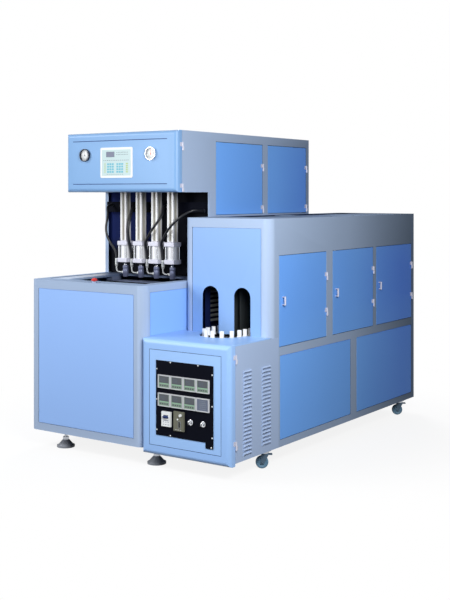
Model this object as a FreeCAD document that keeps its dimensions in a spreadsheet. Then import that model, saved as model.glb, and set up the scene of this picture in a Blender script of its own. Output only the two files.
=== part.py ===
"""Blow moulding machine: a blower with four stations and an infra-red preform heater.

Frame: +Z up, floor at Z = 0, +Y runs from the fronts to the rear, +X to the heater's side.
The origin is the middle of the floor rectangle that the whole machine covers. Millimetres.
"""
import FreeCAD, Part
import math
import os
from types import SimpleNamespace

# ---------------------------------------------------------------- driving sizes
SIZES = {
    # arrangement of the two units
    "unit_gap": 4,
    "front_setback": 19,
    "sheet_wall": 3,
    "panel_gap": 3,
    "flange_lap": 12,
    "corner_radius": 50,
    "running_gap": 0.3,
    # blower base
    "blower_width": 920,
    "blower_length": 1918,
    "base_bottom": 108,
    "base_height": 948,
    "base_rim": 50,
    "base_front_rim": 120,
    "base_rim_thickness": 12,
    "base_floor": 6,
    "base_front_post": 71,
    "base_side_post": 46,
    "base_top_rail": 54,
    "base_side_rail": 42,
    "base_bottom_rail": 47,
    "table_thickness": 12,
    "table_recess": 2,
    "pit_length": 570,
    "pit_left": 184,
    "pit_right": 96,
    # tower and header
    "tower_front": 666,
    "tower_height": 933,
    "left_setback": 50,
    "left_lip": 28,
    "right_lip": 12,
    "wall_setback": 72,
    "header_overhang": 338,
    "header_height": 383,
    "header_door_depth": 49,
    "header_door_radius": 26,
    "header_door_skin": 4,
    "door_groove_width": 5,
    "door_groove_depth": 1.6,
    "header_groove_inset": 59,
    "header_groove_end": 79,
    "header_groove_edge": 50,
    "tower_door_length": 552,
    "tower_door_post": 67,
    "tower_rear_post": 40,
    "tower_door_top": 57,
    "door_above_heater": 9,
    # doors and hinges
    "door_depth": 20,
    "door_skin": 2,
    "hinge_barrel_radius": 5,
    "hinge_pin_radius": 2.5,
    "hinge_pin_gap": 0.05,
    "hinge_leaf": 2.5,
    "hinge_leaf_reach": 20,
    "hinge_length": 50,
    "hinge_end_gap": 0.5,
    "pull_length": 52,
    "pull_reach": 22,
    "pull_radius": 6,
    "pull_inset": 42,
    # header door fittings
    "gauge_radius": 41,
    "gauge_bezel": 14,
    "gauge_body_radius": 34,
    "gauge_body_depth": 28,
    "gauge_recess": 9,
    "gauge_rim": 4,
    "gauge_left_place": 168,
    "gauge_right_inset": 203,
    "gauge_drop": 142,
    "needle_length": 26,
    "needle_tail": 9,
    "needle_width": 2.4,
    "needle_thickness": 1,
    "needle_hub": 3.5,
    "needle_pin_radius": 1.2,
    "keypad_left": 300,
    "keypad_width": 268,
    "keypad_height": 194,
    "keypad_drop": 97,
    "keypad_thickness": 3,
    "keypad_corner": 10,
    # stations
    "station_count": 4,
    "station_pitch": 132,
    "station_depth": 621,
    "stretch_profile": 50,
    "stretch_above_table": 226,
    "stretch_top_gap": 67,
    "stretch_bore": 18,
    "stretch_slot_width": 6,
    "stretch_slot_depth": 3.5,
    "stretch_wall": 5,
    "seal_cap": 80,
    "seal_cap_height": 28,
    "seal_barrel_radius": 34,
    "seal_above_table": 84,
    "seal_tie_radius": 5,
    "seal_tie_inset": 9,
    "seal_bore": 26,
    "nozzle_radius": 19,
    "nozzle_below_table": 14,
    "nozzle_length": 77,
    "nozzle_rod_radius": 9.5,
    "nozzle_stroke": 20,
    "elbow_seat": 4,
    "elbow_bend": 22,
    "rod_radius": 6,
    "rod_gap": 0.4,
    "rod_piston_height": 24,
    "beam_height": 26,
    "beam_above_header": 40,
    "beam_depth": 120,
    "elbow_reach": 79,
    "elbow_radius": 6.5,
    "elbow_height": 30,
    "elbow_nut_radius": 10,
    "elbow_nut_height": 26,
    "elbow_top_above_table": 108,
    "hose_radius": 8,
    "manifold_height": 70,
    "manifold_above_table": 416,
    "manifold_depth": 40,
    "port_radius": 10,
    "port_length": 8,
    # mould area
    "neck_below_table": 38,
    "neck_thickness": 16,
    "neck_length": 92,
    "neck_hole_radius": 15,
    "mould_width": 130,
    "mould_depth": 74,
    "mould_height": 300,
    "mould_gap": 0.6,
    "bottle_width": 64,
    "bottle_length": 190,
    "bottle_shoulder": 45,
    "bottle_neck_radius": 13,
    "bottle_neck_length": 13,
    "platen_thickness": 36,
    "platen_width": 640,
    "platen_height": 330,
    "tie_bar_radius": 16,
    "tie_bar_inset": 34,
    "end_plate_thickness": 34,
    "end_plate_space": 330,
    "clamp_radius": 52,
    "clamp_length": 130,
    "clamp_rod_radius": 24,
    "clamp_end_wall": 12,
    "clamp_beam": 50,
    # emergency stop
    "stop_place": 512,
    "stop_depth": 31,
    "stop_head_radius": 19,
    "stop_head_height": 16,
    "stop_stem_radius": 9,
    "stop_stem_height": 14,
    "stop_collar_radius": 15,
    "stop_collar_height": 6,
    "stop_travel": 5,
    # feet
    "foot_radius": 56,
    "foot_disc": 12,
    "foot_bell": 34,
    "foot_neck_radius": 20,
    "foot_nut": 18,
    "foot_stem_radius": 9,
    "foot_side_inset": 206,
    "foot_front_inset": 106,
    "foot_right_front_inset": 424,
    "foot_rear_inset": 120,
    "foot_heater_place": 12,
    "foot_heater_depth": 128,
    # heater
    "heater_width": 626,
    "heater_length": 2386,
    "heater_bottom": 102,
    "heater_height": 1348,
    "heater_floor": 4,
    "low_length": 413,
    "cabinet_overrun": 92,
    "low_height": 655,
    "table_plate": 6,
    "front_frame": 62,
    "front_frame_top": 57,
    "arch_width": 119,
    "arch_height": 283,
    "oven_front_post": 98,
    "oven_first_post": 81,
    "oven_second_post": 47,
    "oven_rear_post": 43,
    "oven_door_bottom": 590,
    "oven_door_top": 217,
    "oven_rail": 52,
    "lower_front_post": 16,
    "lower_panel_length": 880,
    "lower_mid_post": 86,
    "lower_rear_post": 45,
    "lower_panel_bottom": 42,
    "oven_hinge_inset": 158,
    "tower_hinge_low": 33,
    "tower_hinge_high": 157,
    "header_hinge_low": 28,
    "header_hinge_high": 101,
    "control_hinge_low": 98,
    "control_hinge_high": 79,
    "vent_count": 3,
    "vent_place": 70,
    "vent_width": 186,
    "vent_start": 357,
    "vent_length": 578,
    "vent_rear_margin": 56,
    "vent_bar": 22,
    "vent_slats": 5,
    "vent_slat_width": 16,
    "vent_thickness": 4,
    # control cabinet
    "control_door_depth": 54,
    "control_door_skin": 5,
    "control_door_edge": 26,
    "control_door_drop": 15,
    "control_groove_inset": 61,
    "control_groove_bottom": 45.5,
    "control_groove_width": 6,
    "louvre_rows": 22,
    "louvre_short_rows": 21,
    "louvre_pitch": 21.9,
    "louvre_start": 131,
    "louvre_second_start": 325,
    "louvre_length": 80,
    "louvre_second_length": 89,
    "louvre_bottom": 35,
    "louvre_second_bottom": 53,
    "louvre_radius": 7,
    "louvre_slot": 3.5,
    "plate_left": 111,
    "plate_width": 404,
    "plate_bottom": 107,
    "plate_height": 430,
    "plate_thickness": 4,
    "tab_width": 52,
    "tab_height": 32,
    "meter_columns": 4,
    "meter_rows": 2,
    "meter_width": 87,
    "meter_height": 75,
    "meter_pitch": 91,
    "meter_row_pitch": 104,
    "meter_left": 21,
    "meter_bottom": 170,
    "meter_depth": 10,
    "meter_rim": 5,
    "meter_recess": 3,
    "breaker_left": 50,
    "breaker_bottom": 58,
    "breaker_width": 64,
    "breaker_height": 84,
    "breaker_depth": 14,
    "toggle_bottom": 55.4,
    "toggle_width": 34,
    "toggle_height": 10,
    "toggle_reach": 12,
    "dimmer_left": 136,
    "dimmer_bottom": 42,
    "dimmer_width": 72,
    "dimmer_height": 110,
    "dimmer_depth": 12,
    "dimmer_knob_left": 51.8,
    "dimmer_knob_bottom": 91.3,
    "dimmer_knob_radius": 8,
    "dimmer_knob_length": 9,
    "dimmer_mark_width": 1.6,
    "dimmer_mark_height": 1,
    "knob_stem_radius": 3,
    "selector_radius": 16,
    "selector_ring": 5,
    "selector_knob_radius": 11,
    "selector_length": 18,
    "selector_bar_width": 8.8,
    "selector_bar_height": 19.8,
    "selector_left": 252,
    "selector_second_left": 339,
    "selector_bottom": 101,
    # chain line
    "lane_left": 200,
    "sprocket_teeth": 12,
    "lane_spacing": 229,
    "sprocket_before_oven": 28,
    "sprocket_rear_room": 220,
    "sprocket_thickness": 12,
    "sprocket_drop": 21,
    "hub_radius": 30,
    "roller_radius": 9,
    "pin_step": 2.5,
    "tooth_gap": 0.5,
    "link_gap": 1,
    "link_width": 24,
    "link_thickness": 4,
    "mandrel_base_radius": 16,
    "mandrel_radius": 13,
    "mandrel_base_height": 8,
    "mandrel_height": 46,
    "track_thickness": 10,
    "deck_drop": 57,
    "rail_width": 6,
    "leg_width": 40,
    "slot_clearance": 14,
    "motor_radius": 62,
    "motor_length": 190,
    "gearbox_size": 150,
    "gearbox_height": 110,
    "shaft_radius": 14,
    # oven
    "lamp_rows": 8,
    "lamp_pitch": 30,
    "lamp_first": 49,
    "lamp_radius": 5,
    "lamp_zone_start": 143,
    "lamp_zone_gap": 60,
    "lamp_rear_room": 300,
    "lamp_zones": 3,
    "lamp_wall_distance": 84,
    "holder_width": 26,
    "holder_depth": 22,
    "holder_height": 289,
    "reflector_thickness": 3,
    "reflector_space": 50,
    "reflector_height": 290,
    # casters
    "wheel_radius": 37.5,
    "wheel_width": 25,
    "axle_radius": 6,
    "caster_trail": 18,
    "caster_plate": 52,
    "caster_plate_thickness": 4,
    "fork_wall": 3,
    "fork_low": 20,
    "fork_top": 44,
    "fork_gap": 1.2,
    "swivel_radius": 22,
    "swivel_height": 9,
    "swivel_gap": 0.3,
    "caster_angle": 215,
    "caster_inset": 27,
    "caster_front": 400,
    "caster_rear": 184,
}

PAST = 2.0          # how far a cutting tool runs past the face it cuts
ARC_SHARE = 0.45    # share of the shorter run that an arc of a route takes up
BOX_EDGES = {       # edge numbers of a box
    "front_left": 1, "rear_left": 3, "front_right": 5, "rear_right": 7,
    "left_top": 2, "left_bottom": 4, "right_top": 6, "right_bottom": 8,
    "front_bottom": 9, "front_top": 10, "rear_bottom": 11, "rear_top": 12,
}


# ---------------------------------------------------------------- sizes with their sheet expressions
class Size(float):
    """A number that keeps the sheet expression it was worked out from."""

    def __new__(cls, value, text):
        number = float.__new__(cls, value)
        number.text = text
        return number

    def __add__(self, other):
        return Size(float(self) + float(other), f"({text_of(self)} + {text_of(other)})")

    def __radd__(self, other):
        return Size(float(other) + float(self), f"({text_of(other)} + {text_of(self)})")

    def __sub__(self, other):
        return Size(float(self) - float(other), f"({text_of(self)} - {text_of(other)})")

    def __rsub__(self, other):
        return Size(float(other) - float(self), f"({text_of(other)} - {text_of(self)})")

    def __mul__(self, other):
        return Size(float(self) * float(other), f"({text_of(self)} * {text_of(other)})")

    def __rmul__(self, other):
        return Size(float(other) * float(self), f"({text_of(other)} * {text_of(self)})")

    def __truediv__(self, other):
        return Size(float(self) / float(other), f"({text_of(self)} / {text_of(other)})")

    def __neg__(self):
        return Size(-float(self), f"(-{text_of(self)})")


def text_of(value):
    """The sheet expression of a size, or the plain number."""
    return value.text if isinstance(value, Size) else f"{float(value):.6f}"


doc = FreeCAD.newDocument("blow_moulding_machine")
sheet = doc.addObject("Spreadsheet::Sheet", "Sizes")
for row, (alias, value) in enumerate(SIZES.items(), start=1):
    sheet.set(f"A{row}", str(value))
    sheet.setAlias(f"A{row}", alias)
doc.recompute()
d = SimpleNamespace(**{alias: Size(value, f"Sizes.{alias}") for alias, value in SIZES.items()})
nodes = []


# ---------------------------------------------------------------- building blocks
def node(label, piece):
    """Name a finished sub-part."""
    piece.Label = label
    nodes.append(piece)
    return piece


def bind(piece, name, value):
    """Set a property and tie it to the sheet where it comes from there."""
    if isinstance(value, Size):
        piece.setExpression(name, value.text)
    else:
        setattr(piece, name, value)


def place(piece, x, y, z, rotation=None):
    """Put a piece at x, y, z, tied to the sheet."""
    rotation = rotation or FreeCAD.Rotation()
    piece.Placement = FreeCAD.Placement(FreeCAD.Vector(float(x), float(y), float(z)), rotation)
    for name, value in (("x", x), ("y", y), ("z", z)):
        if isinstance(value, Size):
            piece.setExpression(f".Placement.Base.{name}", value.text)
    return piece


def box(x0, x1, y0, y1, z0, z1):
    """A block between two corners."""
    piece = doc.addObject("Part::Box", "block")
    bind(piece, "Length", x1 - x0)
    bind(piece, "Width", y1 - y0)
    bind(piece, "Height", z1 - z0)
    return place(piece, x0, y0, z0)


TURNS = {
    "x": FreeCAD.Rotation(FreeCAD.Vector(0, 1, 0), 90),
    "y": FreeCAD.Rotation(FreeCAD.Vector(1, 0, 0), -90),
    "z": FreeCAD.Rotation(),
}


def cylinder(x, y, z, radius, length, along="z"):
    """A cylinder that starts at a point and runs along +X, +Y or +Z."""
    piece = doc.addObject("Part::Cylinder", "round")
    bind(piece, "Radius", radius)
    bind(piece, "Height", length)
    return place(piece, x, y, z, TURNS[along])


def cone(x, y, z, radius, end_radius, length, along="z"):
    """A cone that starts at a point and runs along +X, +Y or +Z."""
    piece = doc.addObject("Part::Cone", "taper")
    bind(piece, "Radius1", radius)
    bind(piece, "Radius2", end_radius)
    bind(piece, "Height", length)
    return place(piece, x, y, z, TURNS[along])


def spire(x, y, z, width, end_width, length):
    """A square bar along +Z that narrows from one width to another."""
    piece = doc.addObject("Part::Wedge", "spire")
    half, end = width / 2, end_width / 2
    for name, value in (("Xmin", -half), ("Xmax", half), ("Zmin", -half), ("Zmax", half),
                        ("X2min", -end), ("X2max", end), ("Z2min", -end), ("Z2max", end),
                        ("Ymin", 0.0), ("Ymax", length)):
        bind(piece, name, value)
    return place(piece, x, y, z, FreeCAD.Rotation(FreeCAD.Vector(1, 0, 0), 90))


def hexagon(x, y, z, radius, length):
    """A six-sided nut along +Z."""
    piece = doc.addObject("Part::Prism", "hexagon")
    piece.Polygon = 6
    bind(piece, "Circumradius", radius)
    bind(piece, "Height", length)
    return place(piece, x, y, z)


def group(pieces):
    """Separate solids that share a node."""
    piece = doc.addObject("Part::Compound", "group")
    piece.Links = list(pieces)
    return piece


def fuse(*pieces):
    """One solid from pieces that meet."""
    piece = doc.addObject("Part::MultiFuse", "joined")
    piece.Shapes = list(pieces)
    piece.Refine = True
    return piece


def cut(base, *tools):
    """A piece with the tools cut away."""
    piece = doc.addObject("Part::Cut", "cut")
    piece.Base = base
    piece.Tool = tools[0] if len(tools) == 1 else group(tools)
    piece.Refine = True
    return piece


def rounded(base, radius, *edges):
    """A block with some of its edges rounded."""
    piece = doc.addObject("Part::Fillet", "rounded")
    piece.Base = base
    piece.Edges = [(BOX_EDGES[name], float(radius), float(radius)) for name in edges]
    return piece


def ring(x, y, z, radius, bore, length, along="z"):
    """A tube that starts at a point."""
    outer = cylinder(x, y, z, radius, length, along)
    back = {"x": (PAST, 0, 0), "y": (0, PAST, 0), "z": (0, 0, PAST)}[along]
    hole = cylinder(x - back[0], y - back[1], z - back[2], bore, length + 2 * PAST, along)
    return cut(outer, hole)


def in_face(face, start, end, low, high, bottom, top):
    """A block that reaches inwards from an outer face, from depth start to depth end."""
    side, plane = face
    if side == "front":
        return box(low, high, plane + start, plane + end, bottom, top)
    if side == "rear":
        return box(low, high, plane - end, plane - start, bottom, top)
    if side == "left":
        return box(plane + start, plane + end, low, high, bottom, top)
    return box(plane - end, plane - start, low, high, bottom, top)


def window(face, wall, span):
    """A tool that cuts a window through the wall of a face."""
    low, high, bottom, top = span
    return in_face(face, -PAST, wall + PAST, low, high, bottom, top)


def cover(face, wall, span):
    """A cover that fills a window and laps the wall's inner side."""
    low, high, bottom, top = span
    gap, lap = d.panel_gap, d.flange_lap
    plate = in_face(face, 0, wall, low + gap, high - gap, bottom + gap, top - gap)
    flange = in_face(face, wall, wall + d.sheet_wall, low - lap, high + lap, bottom - lap, top + lap)
    return fuse(plate, flange)


def hinge_fixed(x_face, y_axis, middle):
    """The fixed half of a hinge: leaf, lower barrel and pin."""
    x_axis = x_face + d.hinge_barrel_radius + d.running_gap
    low = middle - d.hinge_length / 2
    half = d.hinge_length / 2 - d.hinge_end_gap
    leaf = box(x_face, x_face + d.hinge_leaf, y_axis, y_axis + d.hinge_leaf_reach, low, low + half)
    barrel = cylinder(x_axis, y_axis, low, d.hinge_barrel_radius, half)
    pin = cylinder(x_axis, y_axis, low, d.hinge_pin_radius, d.hinge_length)
    return fuse(leaf, barrel, pin)


def hinge_moving(x_face, y_axis, middle):
    """The moving half of a hinge: leaf and upper barrel, bored for the pin."""
    x_axis = x_face + d.hinge_barrel_radius + d.running_gap
    half = d.hinge_length / 2
    leaf = box(x_face, x_face + d.hinge_leaf, y_axis - d.hinge_leaf_reach, y_axis, middle, middle + half)
    barrel = cylinder(x_axis, y_axis, middle, d.hinge_barrel_radius, half)
    bore = cylinder(x_axis, y_axis, middle - PAST, d.hinge_pin_radius + d.hinge_pin_gap, half + 2 * PAST)
    return cut(fuse(leaf, barrel), bore)


def side_door(x_face, span, hinge_places, pull_place=None):
    """A folded sheet door in the right-hand wall, hinged at its rear edge."""
    low, high, bottom, top = span
    gap, skin, depth = d.panel_gap, d.door_skin, d.door_depth
    face = ("right", x_face)
    pan = in_face(face, 0, depth, low + gap, high - gap, bottom + gap, top - gap)
    hollow = in_face(face, skin, depth + PAST, low + gap + skin, high - gap - skin,
                     bottom + gap + skin, top - gap - skin)
    pieces = [cut(pan, hollow)] + [hinge_moving(x_face, high, middle) for middle in hinge_places]
    if pull_place is not None:
        pieces.append(pull(x_face, low + d.pull_inset, pull_place))
    return fuse(*pieces)


def pull(x_face, y, middle):
    """A small bow pull on a door, standing upright."""
    radius, reach, length = d.pull_radius, d.pull_reach, d.pull_length
    low = middle - length / 2
    legs = [box(x_face - d.door_skin / 2, x_face + reach - radius, y - radius, y + radius, z, z + radius)
            for z in (low, low + length - radius)]
    grip = cylinder(x_face + reach - radius, y, low, radius, length)
    return fuse(grip, *legs)


def round_path(points, bend=None):
    """Straight runs joined by tangent arcs, as large as each pair of runs allows."""
    places = [FreeCAD.Vector(*(float(value) for value in point)) for point in points]
    edges = []
    made = []
    start = places[0]
    for index in range(1, len(places) - 1):
        before, corner, after = places[index - 1], places[index], places[index + 1]
        back = (before - corner).normalize()
        ahead = (after - corner).normalize()
        turn = math.pi - back.getAngle(ahead)
        shorter = min((before - corner).Length, (after - corner).Length)
        radius = bend if bend else ARC_SHARE * shorter / math.tan(turn / 2)
        trim = radius * math.tan(turn / 2)
        first = corner + back * trim
        last = corner + ahead * trim
        middle = corner + (back + ahead).normalize() * (radius / math.cos(turn / 2) - radius)
        edges.append(Part.LineSegment(start, first).toShape())
        edges.append(Part.Arc(first, middle, last).toShape())
        made.append(radius)
        start = last
    edges.append(Part.LineSegment(start, places[-1]).toShape())
    return Part.Wire(edges), made


def tube_shape(points, radius, bend=None):
    """A round bar along a path of straight runs and tangent arcs."""
    path, made = round_path(points, bend)
    start = FreeCAD.Vector(*(float(value) for value in points[0]))
    heading = FreeCAD.Vector(*(float(value) for value in points[1])) - start
    section = Part.Wire([Part.makeCircle(float(radius), start, heading)])
    solid = path.makePipeShell([section], True, False)
    return solid, path.Length, made


def feature(name, shape):
    """A document object that holds a worked-out shape."""
    piece = doc.addObject("Part::Feature", name)
    piece.Shape = shape
    return piece


# ---------------------------------------------------------------- main planes
SIDE_REACH = d.pull_reach
FRONT_REACH = d.plate_thickness + d.selector_ring + d.selector_length
HX0 = (d.blower_width + d.unit_gap - d.heater_width - SIDE_REACH) / 2
HX1 = HX0 + d.heater_width
HY0 = (FRONT_REACH - d.heater_length) / 2
HY1 = HY0 + d.heater_length
BX1 = HX0 - d.unit_gap
BX0 = BX1 - d.blower_width
BY0 = HY0 + d.front_setback
BY1 = BY0 + d.blower_length
TABLE = d.base_bottom + d.base_height
TOWER_Y = BY0 + d.tower_front
TOWER_TOP = TABLE + d.tower_height
HEADER_BOTTOM = TOWER_TOP - d.header_height
HEADER_Y = TOWER_Y - d.header_overhang
HEADER_SEAM = HEADER_Y + d.header_door_depth
STATION_Y = BY0 + d.station_depth
STATION_X0 = BX0 + (d.blower_width - (d.station_count - 1) * d.station_pitch) / 2
STATIONS = [STATION_X0 + index * d.station_pitch for index in range(int(d.station_count))]
BACK_WALL_Y = TOWER_Y + d.wall_setback
STRETCH_BOTTOM = TABLE + d.stretch_above_table
STRETCH_TOP = TOWER_TOP - d.stretch_top_gap
SEAL_BOTTOM = TABLE + d.seal_above_table
NOZZLE_BOTTOM = TABLE - d.nozzle_below_table
ELBOW_TOP = TABLE + d.elbow_top_above_table
MANIFOLD_BOTTOM = TABLE + d.manifold_above_table
NECK_TOP = TABLE - d.neck_below_table
LOW_TOP = d.heater_bottom + d.low_height
HEATER_TOP = d.heater_bottom + d.heater_height
TALL_Y = HY0 + d.low_length
CONTROL_SEAM = HY0 + d.control_door_depth
WALL = d.sheet_wall


# ---------------------------------------------------------------- blower base
BASE_FACES = {"front": ("front", BY0), "rear": ("rear", BY1), "left": ("left", BX0), "right": ("right", BX1)}
LOW_EDGE = d.base_bottom + d.base_bottom_rail
FRONT_WINDOW = (BX0 + d.base_front_post, BX1 - d.base_front_post, LOW_EDGE, TABLE - d.base_top_rail)
SIDE_START = BY0 + d.corner_radius + d.flange_lap + d.panel_gap
SIDE_WINDOW = (SIDE_START, BY1 - d.base_side_post, LOW_EDGE, TABLE - d.base_side_rail)
BASE_SPANS = {"front": FRONT_WINDOW, "rear": FRONT_WINDOW, "left": SIDE_WINDOW, "right": SIDE_WINDOW}
STOP_X = BX0 + d.stop_place
STOP_Y = BY0 + d.stop_depth
PIT_X0 = BX0 + d.pit_left
PIT_X1 = BX1 - d.pit_right
RIM_EDGE = BY0 + d.base_front_rim


def build_base_frame():
    """Folded base with rounded front corners, a floor sheet, open sides and a top rim."""
    rim = d.base_rim
    corners = ("front_left", "front_right")
    block = rounded(box(BX0, BX1, BY0, BY1, d.base_bottom, TABLE), d.corner_radius, *corners)
    inside = rounded(box(BX0 + WALL, BX1 - WALL, BY0 + WALL, BY1 - WALL, d.base_bottom + d.base_floor,
                         TABLE - d.base_rim_thickness), d.corner_radius - WALL, *corners)
    opening = box(BX0 + rim, BX1 - rim, RIM_EDGE, BY1 - rim,
                  TABLE - d.base_rim_thickness - PAST, TABLE + PAST)
    windows = [window(BASE_FACES[side], WALL, BASE_SPANS[side]) for side in BASE_FACES]
    collar = cylinder(STOP_X, STOP_Y, TABLE, d.stop_collar_radius, d.stop_collar_height)
    hole = cylinder(STOP_X, STOP_Y, TABLE - d.base_rim_thickness - PAST, d.stop_stem_radius + d.running_gap,
                    d.base_rim_thickness + d.stop_collar_height + 2 * PAST)
    node("base_frame", cut(fuse(cut(block, inside, opening, *windows), collar), hole))


def build_base_panels():
    """The cover panels in the four sides of the base."""
    node("base_front_panel", cover(BASE_FACES["front"], WALL, FRONT_WINDOW))
    others = [cover(BASE_FACES[side], WALL, BASE_SPANS[side]) for side in ("left", "right", "rear")]
    node("base_cover_panels", group(others))


def build_table():
    """The table plate in the top rim, open above the moulds, with a flange under the rim."""
    gap, rim, lap = d.panel_gap, d.base_rim, d.flange_lap
    under = TABLE - d.base_rim_thickness
    edge = rim + gap
    plate = box(BX0 + edge, BX1 - edge, RIM_EDGE + gap, BY1 - edge, under, TABLE - d.table_recess)
    flange = box(BX0 + rim - lap, BX1 - rim + lap, RIM_EDGE - lap, BY1 - rim + lap, under - WALL, under)
    pit = box(PIT_X0, PIT_X1, RIM_EDGE - 2 * lap, RIM_EDGE + d.pit_length, under - WALL - PAST, TABLE + PAST)
    node("table_plate", cut(fuse(plate, flange), pit))


def build_stop_button():
    """Mushroom head and stem of the emergency stop."""
    head_bottom = TABLE + d.stop_collar_height + d.stop_travel + d.running_gap
    stem = cylinder(STOP_X, STOP_Y, TABLE - d.stop_stem_height, d.stop_stem_radius,
                    head_bottom - TABLE + d.stop_stem_height)
    crown = d.stop_head_height / 2
    head = cylinder(STOP_X, STOP_Y, head_bottom, d.stop_head_radius, crown)
    dome = cone(STOP_X, STOP_Y, head_bottom + crown, d.stop_head_radius, d.stop_stem_radius, crown)
    node("stop_button", fuse(stem, head, dome))


def foot(x, y, height):
    """A levelling foot: bell pad, lock nut and threaded stem up to the cabinet's underside."""
    disc = cylinder(x, y, 0, d.foot_radius, d.foot_disc)
    bell = cone(x, y, d.foot_disc, d.foot_radius - d.foot_disc / 2, d.foot_neck_radius, d.foot_bell)
    nut = hexagon(x, y, d.foot_disc + d.foot_bell, d.foot_neck_radius, d.foot_nut)
    stem = cylinder(x, y, d.foot_disc + d.foot_bell, d.foot_stem_radius, height - d.foot_disc - d.foot_bell)
    return fuse(disc, bell, nut, stem)


def build_feet(caster_plates):
    """Levelling feet under the blower and the heater's front left corner, and the casters' fixed plates."""
    left, right = BX0 + d.foot_side_inset, BX1 - d.foot_side_inset
    front, rear = BY0 + d.foot_front_inset, BY1 - d.foot_rear_inset
    hidden_front = BY0 + d.foot_right_front_inset
    feet = [foot(x, y, d.base_bottom) for x, y in
            ((left, front), (right, hidden_front), (left, rear), (right, rear))]
    feet.append(foot(HX0 + d.foot_heater_place, HY0 + d.foot_heater_depth, d.heater_bottom))
    node("feet_and_caster_plates", group(feet + caster_plates))


# ---------------------------------------------------------------- tower and header
DOOR_BOTTOM = HEATER_TOP + d.door_above_heater
DOOR_TOP = TOWER_TOP - d.tower_door_top
DOOR_MIDDLE = BACK_WALL_Y + d.tower_door_length
DOOR_SECOND = DOOR_MIDDLE + d.tower_door_post
TOWER_SPANS = [(BACK_WALL_Y, DOOR_MIDDLE, DOOR_BOTTOM, DOOR_TOP),
               (DOOR_SECOND, BY1 - d.tower_rear_post, DOOR_BOTTOM, DOOR_TOP)]
LEFT_START = BACK_WALL_Y + WALL + d.flange_lap + d.panel_gap
LEFT_SPANS = [(LEFT_START, DOOR_MIDDLE, DOOR_BOTTOM, DOOR_TOP), TOWER_SPANS[1]]
TOWER_HINGES = (DOOR_BOTTOM + d.tower_hinge_low, DOOR_TOP - d.tower_hinge_high)
HEADER_HINGES = (HEADER_BOTTOM + d.header_hinge_low, TOWER_TOP - d.header_hinge_high)
REAR_SPAN = (BX0 + d.base_front_post, BX1 - d.base_front_post, TABLE + d.base_top_rail, DOOR_TOP)


def build_tower():
    """Folded sheet tower with the header in front of it, open to the blow station."""
    tower = box(BX0, BX1, TOWER_Y, BY1, TABLE, TOWER_TOP)
    header = box(BX0, BX1, HEADER_SEAM + d.panel_gap / 2, TOWER_Y + PAST, HEADER_BOTTOM, TOWER_TOP)
    tower_space = box(BX0 + WALL, BX1 - WALL, TOWER_Y - PAST, BY1 - WALL, TABLE - PAST, TOWER_TOP - WALL)
    header_space = box(BX0 + WALL, BX1 - WALL, HEADER_Y, TOWER_Y + PAST,
                       HEADER_BOTTOM + WALL, TOWER_TOP - WALL)
    half = d.seal_cap / 2
    rod_slot = box(STATIONS[0] - half, STATIONS[-1] + half, STATION_Y - half, STATION_Y + half,
                   HEADER_BOTTOM - PAST, HEADER_BOTTOM + WALL + PAST)
    right = [window(("right", BX1), WALL, span) for span in TOWER_SPANS]
    left = [window(("left", BX0), WALL, span) for span in LEFT_SPANS]
    rear = window(("rear", BY1), WALL, REAR_SPAN)
    shell = cut(fuse(tower, header), tower_space, header_space, rod_slot, rear, *right, *left)
    left_front = TOWER_Y + d.left_setback
    left_step = box(BX0 - PAST, BX0 + WALL + PAST, TOWER_Y - PAST, left_front, TABLE - PAST, HEADER_BOTTOM)
    left_lip = box(BX0, BX0 + d.left_lip, left_front, left_front + WALL, TABLE, HEADER_BOTTOM + WALL)
    right_lip = box(BX1 - d.right_lip, BX1, TOWER_Y, TOWER_Y + WALL, TABLE, HEADER_BOTTOM + WALL)
    node("tower_shell", fuse(cut(shell, left_step), left_lip, right_lip))


def build_tower_panels():
    """Fixed panels on the left and at the rear, the two doors and the inner back wall."""
    fixed = [cover(("left", BX0), WALL, span) for span in LEFT_SPANS]
    fixed.append(cover(("rear", BY1), WALL, REAR_SPAN))
    node("tower_fixed_panels", group(fixed))
    for label, span in zip(("tower_door_front", "tower_door_rear"), TOWER_SPANS):
        node(label, side_door(BX1, span, TOWER_HINGES))
    wall = box(BX0 + WALL, BX1 - WALL, BACK_WALL_Y, BACK_WALL_Y + WALL, TABLE, TOWER_TOP - WALL)
    node("station_back_wall", wall)


def gauge_places():
    """Left and right gauge centres on the header door."""
    z = TOWER_TOP - d.gauge_drop
    return [(BX0 + d.gauge_left_place, z), (BX1 - d.gauge_right_inset, z)]


def build_header_door():
    """Rounded door pan across the header, with two grooves and the gauge holes."""
    skin = d.header_door_skin
    back = HEADER_SEAM - d.panel_gap / 2
    block = rounded(box(BX0, BX1, HEADER_Y, back, HEADER_BOTTOM, TOWER_TOP), d.header_door_radius,
                    "front_left", "front_right", "front_top", "front_bottom")
    hollow = rounded(box(BX0 + skin, BX1 - skin, HEADER_Y + skin, back + d.header_door_radius,
                         HEADER_BOTTOM + skin, TOWER_TOP - skin), d.header_door_radius - skin,
                     "front_left", "front_right", "front_top", "front_bottom")
    grooves = [box(BX0 + d.header_groove_inset, BX1 - d.header_groove_end,
                   HEADER_Y - PAST, HEADER_Y + d.door_groove_depth, z, z + d.door_groove_width)
               for z in (HEADER_BOTTOM + d.header_groove_edge,
                         TOWER_TOP - d.header_groove_edge - d.door_groove_width)]
    holes = [cylinder(x, HEADER_Y - PAST, z, d.gauge_body_radius, skin + 2 * PAST, "y")
             for x, z in gauge_places()]
    pan = cut(block, hollow, *grooves, *holes)
    hinges = [hinge_moving(BX1, HEADER_SEAM, z) for z in HEADER_HINGES]
    node("header_door", fuse(pan, *hinges))


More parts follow.
